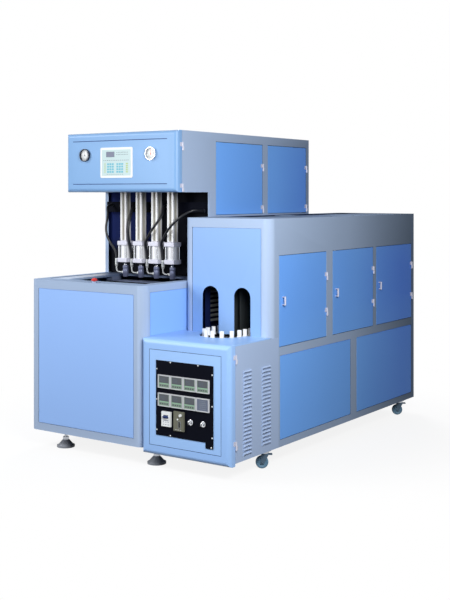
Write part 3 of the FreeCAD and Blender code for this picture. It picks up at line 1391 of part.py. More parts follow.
def build_sprockets():
    """Two notched wheels inside the rollers: the front one on a fixed pin, the rear one on the shaft."""
    notch = d.roller_radius + d.tooth_gap
    for label, y in (("idle_sprocket", FRONT_SPROCKET_Y), ("drive_sprocket", REAR_SPROCKET_Y)):
        disc = cylinder(LOOP_X, y, SPROCKET_BOTTOM, WHEEL_RADIUS, d.sprocket_thickness)
        seats = []
        for index in range(int(d.sprocket_teeth)):
            angle = 2 * HALF_TOOTH * index
            seats.append(cylinder(LOOP_X + WHEEL_RADIUS * math.cos(angle), y + WHEEL_RADIUS * math.sin(angle),
                                  SPROCKET_BOTTOM - PAST, notch, d.sprocket_thickness + 2 * PAST))
        hub = cylinder(LOOP_X, y, DECK_TOP + d.running_gap, d.hub_radius,
                       SPROCKET_BOTTOM - DECK_TOP - d.running_gap)
        wheel = cut(fuse(disc, hub), *seats)
        if label == "idle_sprocket":
            bore = cylinder(LOOP_X, y, DECK_TOP - PAST, d.shaft_radius + d.hinge_pin_gap,
                            SPROCKET_TOP - DECK_TOP + 2 * PAST)
            node(label, cut(wheel, bore))
        else:
            low = DECK_BOTTOM - d.gearbox_height / 2
            shaft = cylinder(LOOP_X, y, low, d.shaft_radius, SPROCKET_BOTTOM - low)
            node(label, fuse(wheel, shaft))


def build_track():
    """Deck under the chain on legs, with guide rails beside the rollers and the front wheel's pin."""
    inset = d.front_frame + d.panel_gap
    x0, x1 = HX0 + inset, HX1 - inset
    y0, y1 = FRONT_SPROCKET_Y - LOOP_RADIUS - d.leg_width, HY1 - WALL - d.panel_gap
    deck = box(x0, x1, y0, y1, DECK_BOTTOM, DECK_TOP)
    leg, floor = d.leg_width, d.heater_bottom + d.heater_floor
    legs = [box(x, x + leg, y, y + leg, floor, DECK_BOTTOM)
            for x in (x0, x1 - leg) for y in (y0, (y0 + y1) / 2, y1 - leg)]
    clear = d.roller_radius + d.tooth_gap
    wide = d.rail_width
    rails = [box(lane + side, lane + side + wide, FRONT_SPROCKET_Y, REAR_SPROCKET_Y, DECK_TOP, SPROCKET_TOP)
             for lane, sides in ((LOOP_X - LOOP_RADIUS, (-clear - wide,)), (LOOP_X + LOOP_RADIUS, (clear,)))
             for side in sides]
    pin = cylinder(LOOP_X, FRONT_SPROCKET_Y, DECK_BOTTOM, d.shaft_radius, SPROCKET_TOP - DECK_BOTTOM)
    hole = cylinder(LOOP_X, REAR_SPROCKET_Y, DECK_BOTTOM - PAST, d.shaft_radius + d.running_gap,
                    d.track_thickness + 2 * PAST)
    node("chain_track", cut(fuse(deck, pin, *rails, *legs), hole))


def build_drive():
    """Gearbox under the deck at the rear wheel, with the motor below it."""
    half, y = d.gearbox_size / 2, REAR_SPROCKET_Y
    gearbox = box(LOOP_X - half, LOOP_X + half, y - half, y + half,
                  DECK_BOTTOM - d.gearbox_height, DECK_BOTTOM)
    low = DECK_BOTTOM - d.gearbox_height - d.motor_length
    motor = cylinder(LOOP_X, y, low, d.motor_radius, d.motor_length)
    hole = cylinder(LOOP_X, y, DECK_BOTTOM - d.gearbox_height / 2 - d.running_gap,
                    d.shaft_radius + d.running_gap, d.gearbox_height)
    node("drive_motor", cut(fuse(gearbox, motor), hole))


# ---------------------------------------------------------------- oven
def lamp_lines():
    """The X of the two lamp walls."""
    return HX0 + d.lamp_wall_distance, HX1 - d.lamp_wall_distance


def build_lamps():
    """Infra-red lamp tubes in three zones a side, standing in slotted holders, and the reflectors."""
    lamps, pieces = [], []
    start, zones = TALL_Y + d.lamp_zone_start, int(d.lamp_zones)
    zone_length = (HY1 - d.lamp_rear_room - start - (zones - 1) * d.lamp_zone_gap) / zones
    for x in lamp_lines():
        for zone in range(zones):
            y0 = start + zone * (zone_length + d.lamp_zone_gap)
            for row_index in range(int(d.lamp_rows)):
                lamps.append(cylinder(x, y0, LOW_TOP + d.lamp_first + row_index * d.lamp_pitch, d.lamp_radius,
                                      zone_length, "y"))
            for y in (y0 - d.holder_depth, y0 + zone_length):
                pieces.append(box(x - d.holder_width / 2, x + d.holder_width / 2, y, y + d.holder_depth,
                                  DECK_TOP, LOW_TOP + d.holder_height))
    thick = d.reflector_thickness
    start = FRONT_SPROCKET_Y + LOOP_RADIUS + d.holder_depth
    end = REAR_SPROCKET_Y - LOOP_RADIUS - d.holder_depth
    for x in (LOOP_X - d.reflector_space / 2 - thick, LOOP_X + d.reflector_space / 2):
        pieces.append(box(x, x + thick, start, end, DECK_TOP, LOW_TOP + d.reflector_height))
    node("lamps", group(lamps))
    node("oven_reflectors", group(pieces))


# ---------------------------------------------------------------- hinges and casters
def build_hinges():
    """The fixed halves of all door hinges."""
    places = [(BX1, span[1], z) for span in TOWER_SPANS for z in TOWER_HINGES]
    places += [(BX1, HEADER_SEAM, z) for z in HEADER_HINGES]
    places += [(HX1, span[1], z) for span in OVEN_SPANS for z in OVEN_HINGES]
    places += [(HX1, CONTROL_SEAM, z) for z in CONTROL_HINGES]
    node("door_hinges", group([hinge_fixed(*place_of) for place_of in places]))


def caster_places():
    """Swivel axes of the four casters: right front, right rear, left front, left rear."""
    left, right = HX0 + d.caster_inset, HX1 - d.caster_inset
    front, rear = HY0 + d.caster_front, HY1 - d.caster_rear
    return [(right, front), (right, rear), (left, front), (left, rear)]


def turned(piece, x, y):
    """A caster piece, made about the origin, turned to its rest heading at its swivel axis."""
    carrier = group([piece])
    return place(carrier, x, y, 0, FreeCAD.Rotation(FreeCAD.Vector(0, 0, 1), float(d.caster_angle)))


def build_casters():
    """Four swivel casters: fixed plate and king pin, fork with brake pedal, wheel."""
    plates = []
    top = d.heater_bottom - d.caster_plate_thickness
    race = top - d.swivel_height
    fork_top = race - d.swivel_gap
    half = d.caster_plate / 2
    wall, inner = d.fork_wall, d.wheel_width / 2 + d.fork_gap
    for index, (x, y) in enumerate(caster_places(), start=1):
        plate = box(x - half, x + half, y - half, y + half, top, d.heater_bottom)
        bearing = cylinder(x, y, race, d.swivel_radius, d.swivel_height)
        pin = cylinder(x, y, fork_top - wall - d.swivel_gap, d.axle_radius,
                       race - fork_top + wall + 2 * d.swivel_gap)
        plates.append(fuse(plate, bearing, pin))
        bridge = box(-d.fork_top / 2, d.fork_top / 2, -inner - wall, inner + wall, fork_top - wall, fork_top)
        bore = cylinder(0, 0, fork_top - wall - PAST, d.axle_radius + d.hinge_pin_gap, wall + 2 * PAST)
        cheeks = []
        for y0 in (-inner - wall, inner):
            cheek = doc.addObject("Part::Wedge", "cheek")
            bind(cheek, "Xmin", d.caster_trail - d.fork_low / 2)
            bind(cheek, "Xmax", d.caster_trail + d.fork_low / 2)
            bind(cheek, "X2min", -d.fork_top / 2)
            bind(cheek, "X2max", d.fork_top / 2)
            bind(cheek, "Ymin", d.wheel_radius - d.fork_low / 2)
            bind(cheek, "Ymax", fork_top - wall)
            for name, value in (("Zmin", -y0 - wall), ("Z2min", -y0 - wall), ("Zmax", -y0), ("Z2max", -y0)):
                bind(cheek, name, value)
            cheek.Placement.Rotation = FreeCAD.Rotation(FreeCAD.Vector(1, 0, 0), 90)
            cheeks.append(cheek)
        axle = cylinder(d.caster_trail, -inner - wall, d.wheel_radius, d.axle_radius, 2 * (inner + wall), "y")
        pedal = box(-d.fork_top / 2 - d.fork_low, -d.fork_top / 2 + wall, -inner, inner,
                    fork_top - 3 * wall, fork_top - wall)
        fork = cut(fuse(bridge, axle, pedal, *cheeks), bore)
        node(f"caster_fork_{index}", turned(fork, x, y))
        rim = cylinder(d.caster_trail, -d.wheel_width / 2, d.wheel_radius, d.wheel_radius, d.wheel_width, "y")
        hole = cylinder(d.caster_trail, -d.wheel_width / 2 - PAST, d.wheel_radius,
                        d.axle_radius + d.hinge_pin_gap, d.wheel_width + 2 * PAST, "y")
        node(f"caster_wheel_{index}", turned(cut(rim, hole), x, y))
    return plates


# ---------------------------------------------------------------- build, check and export
build_base_frame()
build_base_panels()
build_table()
build_stop_button()
build_tower()
build_tower_panels()
build_header_door()
build_gauges()
build_stretch_cylinders()
build_beam()
build_seal_cylinders()
build_nozzles()
build_stretch_rods()
build_hoses()
build_manifold()
mould_half("mould_half_front", -1)
mould_half("mould_half_rear", 1)
build_clamp_frame()
build_neck_plate()
build_heater_shell()
build_heater_front()
build_heater_panels()
build_control_cabinet()
build_heater_table()
build_control_door()
build_control_plate()
build_instruments()
build_switches()
build_chain()
build_sprockets()
build_track()
build_drive()
build_lamps()
build_hinges()
build_feet(build_casters())

doc.recompute()
faults = [f"{piece.Label}: {piece.State}" for piece in doc.Objects
          if "Invalid" in piece.State or "Error" in piece.State]
for piece in nodes:
    if piece.Shape.isNull() or not piece.Shape.isValid():
        faults.append(f"{piece.Label}: shape")
if faults:
    raise RuntimeError("; ".join(faults))

os.makedirs("parts", exist_ok=True)
for piece in nodes:
    piece.Shape.exportStep(os.path.join("parts", f"{piece.Label}.step"))
print(len(nodes), "sub-parts,", sum(len(piece.Shape.Solids) for piece in nodes), "solids")
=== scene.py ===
import math

import bmesh
import bpy
from mathutils import Matrix, Vector


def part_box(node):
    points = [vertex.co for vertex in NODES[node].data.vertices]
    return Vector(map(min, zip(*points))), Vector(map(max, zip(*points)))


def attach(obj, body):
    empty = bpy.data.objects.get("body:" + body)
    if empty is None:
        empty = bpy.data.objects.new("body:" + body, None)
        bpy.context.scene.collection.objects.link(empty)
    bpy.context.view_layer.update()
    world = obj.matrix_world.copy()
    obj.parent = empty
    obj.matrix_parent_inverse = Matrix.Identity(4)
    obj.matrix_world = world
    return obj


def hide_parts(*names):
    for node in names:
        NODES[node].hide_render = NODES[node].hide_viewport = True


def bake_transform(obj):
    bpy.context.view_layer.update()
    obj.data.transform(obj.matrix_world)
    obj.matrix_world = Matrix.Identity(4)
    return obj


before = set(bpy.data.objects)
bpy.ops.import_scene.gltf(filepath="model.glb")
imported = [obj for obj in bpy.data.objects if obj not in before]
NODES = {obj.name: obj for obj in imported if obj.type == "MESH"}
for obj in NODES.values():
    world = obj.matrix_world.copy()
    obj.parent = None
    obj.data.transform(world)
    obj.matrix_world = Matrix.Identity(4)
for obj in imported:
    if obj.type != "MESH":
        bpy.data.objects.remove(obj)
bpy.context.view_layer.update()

# ------------------------------------ places shared with the construction
# All lengths in this file are in metres, unless a comment says otherwise.
HX0, HX1 = 0.138, 0.764                 # heater, left and right
HY0, HY1 = -1.1795, 1.2065              # heater, front and rear
BX0, BX1 = -0.786, 0.134                # blower, left and right
BY0 = -1.1605                           # blower, front
HEADER_Y = BY0 + 0.328                  # front of the header door
TOWER_TOP = 1.989
STATION_Y = BY0 + 0.621                 # row of the blow stations
STATION_FIRST, STATION_PITCH, STATION_COUNT = 0.262, 0.132, 4
STATIONS = [BX0 + STATION_FIRST + STATION_PITCH * index for index in range(STATION_COUNT)]
BACK_WALL_Y = BY0 + 0.738
PLATE_X, PLATE_Y = HX0 + 0.111, HY0 - 0.004         # control plate, left edge and front
PLATE_Z = 0.209                                     # control plate, lower edge
MM = 0.001

ALONG_Y, ALONG_Z = (0, 1, 0), (0, 0, 1)
LEFTWARDS = (-1, 0, 0)
SIDES = (-1, 1)


# ------------------------------------ materials
SCREEN_WHITE = 255
BLOTCH_SCALE, BLOTCH_DETAIL = 2.5, 3    # mottling of the colour
GRAIN_DETAIL = 2
GRAIN_DEPTH = 0.0005
ROUGH_SPAN = 0.12                       # how much the gloss varies
HIGHLIGHT_BEGIN, HIGHLIGHT_END = 0.53, 0.62       # pointiness where an edge begins to get a painted highlight, and where it has it in full
# how much paler a sharp edge is painted, as a highlight
HIGHLIGHT_GAIN, HIGHLIGHT_LIFT = 1.25, 0.05
MIX_FIRST, MIX_SECOND, MIX_RESULT = 6, 7, 2     # a Mix node's colour sockets


def linear(red, green, blue):
    """A colour written in screen values, 0 to 255, as a linear colour, by the sRGB formula."""
    def channel(value):
        value /= SCREEN_WHITE
        return value / 12.92 if value <= 0.04045 else ((value + 0.055) / 1.055) ** 2.4
    return channel(red), channel(green), channel(blue), 1.0


def colour_mix(nodes, links, share, first, second):
    """A mix of two colours by a share; the first may be a fixed colour or an output to link."""
    mix = nodes.new("ShaderNodeMix")
    mix.data_type = "RGBA"
    if isinstance(first, bpy.types.NodeSocket):
        links.new(first, mix.inputs[MIX_FIRST])
    else:
        mix.inputs[MIX_FIRST].default_value = first
    mix.inputs[MIX_SECOND].default_value = second
    links.new(share, mix.inputs["Factor"])
    return mix.outputs[MIX_RESULT]


def map_range(nodes, links, value, begin=0.0, end=1.0, low=0.0, high=1.0):
    """A node that takes a value from begin..end to low..high."""
    node = nodes.new("ShaderNodeMapRange")
    for socket, number in (("From Min", begin), ("From Max", end), ("To Min", low), ("To Max", high)):
        node.inputs[socket].default_value = number
    links.new(value, node.inputs["Value"])
    return node


def noise(nodes, links, vector, scale, detail):
    """A noise texture's value."""
    texture = nodes.new("ShaderNodeTexNoise")
    texture.inputs["Scale"].default_value = scale
    texture.inputs["Detail"].default_value = detail
    links.new(vector, texture.inputs["Vector"])
    return texture.outputs["Fac"]


def scaled(colour, gain, lift=0.0):
    """A colour made brighter or darker, no brighter than white."""
    return [min(1, channel * gain + lift) for channel in colour[:3]] + [1]


def surface(name, colour, rough=0.45, metallic=0.0, vary=0.05, grain=260.0, bump=0.02,
            stretch=(1, 1, 1), edge_highlight=0.0, specular=0.3, shade_fades=()):
    """A material with mottled colour, uneven gloss, a fine grain and paler sharp edges, which are a painted
    highlight.

    Each fade is an axis, the places where it begins and ends, and the colour it leads to; every fade darkens
    the colour, a painted shade.
    """
    material = bpy.data.materials.new(name)
    material.use_nodes = True
    nodes, links = material.node_tree.nodes, material.node_tree.links
    shader = nodes["Principled BSDF"]
    shader.inputs["Metallic"].default_value = metallic
    shader.inputs["Specular IOR Level"].default_value = specular
    place = nodes.new("ShaderNodeTexCoord")
    mapping = nodes.new("ShaderNodeMapping")
    mapping.inputs["Scale"].default_value = stretch
    links.new(place.outputs["Object"], mapping.inputs["Vector"])
    patches = noise(nodes, links, mapping.outputs["Vector"], BLOTCH_SCALE, BLOTCH_DETAIL)
    fine = noise(nodes, links, mapping.outputs["Vector"], grain, GRAIN_DETAIL)
    final = colour_mix(nodes, links, patches, scaled(colour, 1 - vary), scaled(colour, 1 + vary))
    if shade_fades:
        parts = nodes.new("ShaderNodeSeparateXYZ")
        links.new(place.outputs["Object"], parts.inputs["Vector"])
    # Each fade darkens the colour along an axis: painted shade.
    for axis, begin, end, target in shade_fades:
        share = map_range(nodes, links, parts.outputs[axis], begin, end)
        final = colour_mix(nodes, links, share.outputs["Result"], final, target)
    # Sharp edges painted paler: a painted highlight.
    if edge_highlight:
        geometry = nodes.new("ShaderNodeNewGeometry")
        edge = map_range(nodes, links, geometry.outputs["Pointiness"], HIGHLIGHT_BEGIN, HIGHLIGHT_END, high=edge_highlight)
        final = colour_mix(nodes, links, edge.outputs["Result"], final, scaled(colour, HIGHLIGHT_GAIN, HIGHLIGHT_LIFT))
    links.new(final, shader.inputs["Base Color"])
    gloss = map_range(nodes, links, fine, low=rough - ROUGH_SPAN / 2, high=rough + ROUGH_SPAN / 2)
    links.new(gloss.outputs["Result"], shader.inputs["Roughness"])
    relief = nodes.new("ShaderNodeBump")
    relief.inputs["Strength"].default_value = bump
    relief.inputs["Distance"].default_value = GRAIN_DEPTH
    links.new(fine, relief.inputs["Height"])
    links.new(relief.outputs["Normal"], shader.inputs["Normal"])
    return material


# The blue panels have one paint, written here as copies whose colours differ part by part: painted light and
# shade.
PANEL = surface("panel_paint", linear(139, 176, 234), rough=0.4, vary=0.02, bump=0.03, edge_highlight=0.2)
HEATER_FRONT_BLUE = surface("heater_front_blue_paint", linear(125, 162, 212), rough=0.4, vary=0.02, bump=0.03,
                     edge_highlight=0.2)
# Side panels: the blue darkens towards the rear, a painted shade.
SIDE_PANEL = surface("side_panel_paint", linear(112, 170, 250), rough=0.45, vary=0.03, bump=0.03,
                     edge_highlight=0.2, specular=0.05, shade_fades=[("Y", 0.3, 1.0, linear(90, 142, 242))])
COVER = surface("cover_paint", linear(134, 178, 242), rough=0.4, vary=0.03, bump=0.03, edge_highlight=0.2,
                specular=0.2)
HEADER = surface("header_paint", linear(121, 162, 208), rough=0.36, vary=0.02, bump=0.03, edge_highlight=0.2)
DOOR = surface("door_paint", linear(146, 184, 236), rough=0.36, vary=0.02, bump=0.03, edge_highlight=0.2)
# Frame paint: darker towards the rear, a painted shade.
FRAME = surface("frame_paint", linear(159, 178, 206), rough=0.45, vary=0.03, bump=0.04, edge_highlight=0.25,
                specular=0.0, shade_fades=[("Y", 0.2, 1.15, linear(116, 132, 154))])
# The frame's grey-blue paint again, in a paler copy for the control cabinet: painted light.
SHEET = surface("side_sheet_paint", linear(164, 184, 216), rough=0.42, vary=0.03, bump=0.04,
                edge_highlight=0.25, specular=0.2)
# Table paint: darker towards the rear, a painted shade over the table's rear part.
TABLE_PAINT = surface("table_paint", linear(158, 181, 214), rough=0.38, vary=0.06, bump=0.05,
                      edge_highlight=0.2, shade_fades=[("Y", -1.02, -0.60, linear(52, 64, 94))])
# Station back wall and the tower's inside: dark navy as painted shade, going black to the right and
# downwards, more painted shade.
BLACKISH = linear(10, 12, 20)
NAVY = surface("navy_inside", linear(22, 34, 84), rough=0.6, vary=0.2, bump=0.05, specular=0.05,
               shade_fades=[("X", -0.42, -0.30, BLACKISH), ("Z", 1.30, 1.20, BLACKISH)])
# Inner faces of the shells and the base frame: dark navy, a painted shade.
INSIDE = surface("dark_inside", linear(24, 34, 72), rough=0.6, vary=0.25, bump=0.05, specular=0.05)
# Moulds, clamp frame and cylinder beam: dark steel, darkened to near black as painted shade of the recess
# they stand in.
PIT = surface("dark_steel_pit_shade", linear(15, 16, 24), rough=0.6, vary=0.25, bump=0.08, specular=0.1)
STEEL = surface("steel", linear(176, 180, 186), rough=0.3, metallic=1.0, vary=0.08, grain=180,
                stretch=(1, 1, 8), bump=0.05)
CHROME = surface("bright_steel", linear(214, 217, 222), rough=0.16, metallic=1.0, vary=0.05, bump=0.01)
DARK_STEEL = surface("dark_steel", linear(58, 62, 72), rough=0.42, metallic=0.7, vary=0.2, bump=0.08)
ALUMINIUM = surface("aluminium", linear(214, 216, 220), rough=0.4, metallic=0.3, vary=0.04, grain=120,
                    stretch=(9, 9, 0.7), bump=0.04)
CAST = surface("cast_aluminium", linear(198, 199, 213), rough=0.45, metallic=0.25, vary=0.06,
               bump=0.12, grain=500)
FITTING = surface("plated_fitting", linear(150, 153, 156), rough=0.35, metallic=0.4, vary=0.06,
                  bump=0.03)
GUN = surface("nozzle_blue_steel", linear(98, 104, 130), rough=0.4, metallic=0.3, vary=0.12, bump=0.04)
BLACK = surface("black_plastic", linear(20, 21, 26), rough=0.5, vary=0.15, bump=0.08, specular=0.1)
PLATE = surface("black_plate", linear(8, 10, 20), rough=0.5, vary=0.12, bump=0.03, specular=0.03)
GROOVE = surface("groove_shadow", linear(62, 84, 132), rough=0.7, vary=0.1, specular=0.1)
WHITE = surface("white_plastic", linear(224, 228, 229), rough=0.35, vary=0.02, bump=0.02)
MANDREL = surface("mandrel_white", linear(240, 242, 243), rough=0.38, vary=0.02, bump=0.02)
RUBBER = surface("hose_rubber", linear(24, 26, 32), rough=0.38, vary=0.2, grain=420, bump=0.1,
                 specular=0.38)
TYRE = surface("tyre_grey", linear(94, 128, 152), rough=0.45, vary=0.12, bump=0.1)
FOOT = surface("foot_rubber", linear(138, 143, 152), rough=0.55, vary=0.12, bump=0.1)
RED = surface("red_plastic", linear(196, 52, 48), rough=0.32, vary=0.05)
ORANGE = surface("needle_orange", linear(222, 92, 38), rough=0.4, vary=0.03)
NEEDLE_GREY = surface("needle_grey", linear(96, 98, 106), rough=0.4, vary=0.03)
METER_RIM = surface("meter_rim", linear(192, 195, 200), rough=0.42, vary=0.05, bump=0.04)
METER_FACE = surface("meter_face", linear(122, 144, 128), rough=0.36, vary=0.1)
METER_DARK = surface("meter_window", linear(82, 87, 93), rough=0.25, vary=0.15)
METER_GREEN = surface("meter_green", linear(142, 184, 156), rough=0.4, vary=0.1)
METER_BLUE = surface("meter_blue_grey", linear(96, 104, 124), rough=0.3, vary=0.1)
MODULE = surface("module_olive", linear(98, 99, 86), rough=0.5, vary=0.12, bump=0.06)
OVERLAY = surface("keypad_film", linear(184, 206, 208), rough=0.35, vary=0.02)
LCD = surface("keypad_display", linear(118, 124, 144), rough=0.25, vary=0.06)
TEAL = surface("keypad_teal", linear(104, 176, 196), rough=0.35, vary=0.05)
LIME = surface("keypad_lime", linear(166, 188, 124), rough=0.35, vary=0.05)
INK = surface("printed_ink", linear(76, 88, 108), rough=0.5, vary=0.05)
BREAKER_BLUE = surface("breaker_blue", linear(38, 56, 104), rough=0.35, vary=0.08, specular=0.15)
CERAMIC = surface("lamp_holder", linear(132, 136, 138), rough=0.55, vary=0.12, bump=0.1, specular=0.1)
# Oven reflectors: dark navy, and dark grey for the inner ones, both a painted shade of the oven's inside.
REFLECTOR = surface("reflector_dark", linear(26, 38, 84), rough=0.5, vary=0.25, bump=0.05,
                    specular=0.05)
REFLECTOR_GREY = surface("reflector_grey", linear(54, 58, 60), rough=0.5, vary=0.25, bump=0.05,
                         specular=0.05)
VENT = surface("vent_black", linear(22, 26, 38), rough=0.8, vary=0.15, bump=0.05, specular=0.0)
FORK = surface("fork_grey_blue", linear(72, 92, 110), rough=0.5, metallic=0.2, vary=0.15, bump=0.08)
SHADE = surface("shaded_inside", linear(12, 14, 24), rough=0.6, vary=0.2, bump=0.05, specular=0.03)
NECK = surface("neck_plate_steel", linear(96, 106, 132), rough=0.45, metallic=0.2, vary=0.12, bump=0.05)
# Faces inside the profiles' flutes: darker grey-beige, a painted shade in the channels.
FLUTE = surface("profile_flute_painted_shade", linear(176, 174, 166), rough=0.5, metallic=0.2, vary=0.05, bump=0.03)
# Right gauge's bezel: a pale grey that stands for the white reflection on its bright metal, a painted
# reflection.
BEZEL_REFLECTION = surface("bezel_painted_reflection", linear(164, 172, 184), rough=0.5, vary=0.04, specular=0.15)
LINK = surface("chain_link", linear(44, 46, 52), rough=0.45, metallic=0.5, vary=0.2, bump=0.1)

CAD_LOOKS = {
    "base_frame": FRAME, "base_front_panel": PANEL, "base_cover_panels": COVER, "table_plate": TABLE_PAINT,
    "stop_button": RED, "tower_shell": FRAME, "tower_fixed_panels": COVER, "tower_door_front": SIDE_PANEL,
    "tower_door_rear": SIDE_PANEL, "station_back_wall": NAVY, "header_door": HEADER, "gauge_cases": CHROME,
    "gauge_needle_left": NEEDLE_GREY, "gauge_needle_right": ORANGE, "keypad_panel": WHITE,
    "stretch_cylinders": ALUMINIUM, "cylinder_beam": PIT, "seal_cylinders": CAST, "blow_nozzles": GUN,
    "nozzle_elbows": FITTING, "stretch_rods": CHROME, "air_hoses": RUBBER, "air_manifold": SHADE,
    "mould_half_front": PIT, "mould_half_rear": PIT, "clamp_frame": PIT, "neck_plate": NECK,
    "heater_shell": FRAME, "heater_front_panel": HEATER_FRONT_BLUE, "oven_door_front": SIDE_PANEL,
    "oven_door_middle": SIDE_PANEL, "oven_door_rear": SIDE_PANEL, "heater_fixed_panels": SIDE_PANEL,
    "vent_grilles": VENT, "control_cabinet": SHEET, "heater_table": DOOR, "control_door": DOOR,
    "control_plate": PLATE, "panel_instruments": METER_RIM, "breaker_toggle": BREAKER_BLUE,
    "regulator_knob": WHITE, "selector_knob_left": CHROME, "selector_knob_right": CHROME,
    "mandrel_chain": MANDREL, "drive_sprocket": DARK_STEEL, "idle_sprocket": DARK_STEEL,
    "chain_track": DARK_STEEL, "drive_motor": DARK_STEEL, "lamps": CERAMIC, "oven_reflectors": REFLECTOR,
    "door_hinges": CAST, "feet_and_caster_plates": FOOT,
}
CASTER_COUNT = 4
for number in range(1, CASTER_COUNT + 1):
    CAD_LOOKS[f"caster_fork_{number}"] = FORK
    CAD_LOOKS[f"caster_wheel_{number}"] = TYRE

# Inner faces of these nodes are painted dark: painted shade.
INNER_LOOKS = {"heater_shell": INSIDE, "tower_shell": NAVY, "base_frame": INSIDE,
               "heater_front_panel": INSIDE}
SIDE_FITTINGS = {"tower_door_front": BX1, "tower_door_rear": BX1, "header_door": BX1,
                 "oven_door_front": HX1, "oven_door_middle": HX1, "oven_door_rear": HX1,
                 "control_door": HX1}   # hinge leaves and pulls stand out of these sides
GROOVED_FRONTS = {"header_door": HEADER_Y, "control_door": HY0}
LINK_TOP = 0.747                        # the chain's links lie below, its mandrels above
RUBBER_TOP = 0.047                      # the feet's rubber lies below, their steel above
IN_PLANE = 0.0002                       # less than this from a plane counts as in it
GROOVE_DEPTH = 0.0018
SQUARE = 0.999                          # a normal with a part above this looks along an axis
INNER_REFLECTORS = 0.1                  # they lie nearer than this to the middle of their node


def dress_cad():
    """Give every construction node its material, then paint the parts of it that differ."""
    for name, node in NODES.items():
        node.data.materials.clear()
        node.data.materials.append(CAD_LOOKS[name])
    # inner faces painted dark as shade
    for name, look in INNER_LOOKS.items():
        paint_where(name, look, faces_inward)
    paint_where("mandrel_chain", LINK, lambda face, middle: face.center.z < LINK_TOP)
    paint_where("feet_and_caster_plates", STEEL, lambda face, middle: face.center.z > RUBBER_TOP)
    paint_where("gauge_cases", DARK_STEEL, lambda face, middle: face.center.x < middle.x)
    for name, plane in SIDE_FITTINGS.items():
        paint_where(name, CAST, lambda face, middle, plane=plane: face.center.x > plane + IN_PLANE)
    for name, plane in GROOVED_FRONTS.items():
        paint_where(name, GROOVE, lambda face, middle, plane=plane: in_groove(face, plane))
    # inner reflectors in dark grey: painted shade
    paint_where("oven_reflectors", REFLECTOR_GREY,
                lambda face, middle: abs(face.center.x - middle.x) < INNER_REFLECTORS)
    paint_instruments()


def faces_inward(face, middle):
    """True for a face that looks towards the middle of its node."""
    return face.normal.dot(face.center - middle) < 0


def in_groove(face, plane):
    """True for a face of a groove that is pressed into a door's front."""
    square = max(abs(part) for part in face.normal) > SQUARE
    return square and plane + IN_PLANE < face.center.y < plane + GROOVE_DEPTH


def paint_where(name, look, test):
    """Another material on the faces of a construction node that pass the test."""
    mesh = NODES[name].data
    low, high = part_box(name)
    middle = (low + high) / 2
    index = len(mesh.materials)
    mesh.materials.append(look)
    for face in mesh.polygons:
        if test(face, middle):
            face.material_index = index


# areas of the control plate: left, right, bottom and top from its lower left corner
BREAKER_AREA = (0.049, 0.115, 0.057, 0.143)
BREAKER_SLOT_AREA = (0.060, 0.104, 0.099, 0.128)
REGULATOR_AREA = (0.135, 0.209, 0.041, 0.153)
SELECTOR_RING_AREA = (0.230, 0.360, 0.080, 0.120)
BREAKER_FRONT = 0.0138                  # the slot's faces lie behind this
BREAKER_MIDDLE, BREAKER_SLOT_HALF = 0.082, 0.0175


def paint_instruments():
    """The breaker, the voltage regulator and the selectors' rings differ from the controllers."""
    def within(left, right, low, high):
        return lambda face, middle: (PLATE_X + left < face.center.x < PLATE_X + right
                                     and PLATE_Z + low < face.center.z < PLATE_Z + high)

    slot = within(*BREAKER_SLOT_AREA)
    paint_where("panel_instruments", WHITE, within(*BREAKER_AREA))
    paint_where("panel_instruments", BREAKER_BLUE,
                lambda face, middle: face.center.y > PLATE_Y - BREAKER_FRONT and slot(face, middle)
                and abs(face.center.x - PLATE_X - BREAKER_MIDDLE) < BREAKER_SLOT_HALF)
    paint_where("panel_instruments", MODULE, within(*REGULATOR_AREA))
    paint_where("panel_instruments", CHROME, within(*SELECTOR_RING_AREA))


# ------------------------------------ mesh building
ON_AXIS = 1e-7                          # a smaller radius is a single point
ROUND = 0.5                             # the bevel profile of a quarter circle


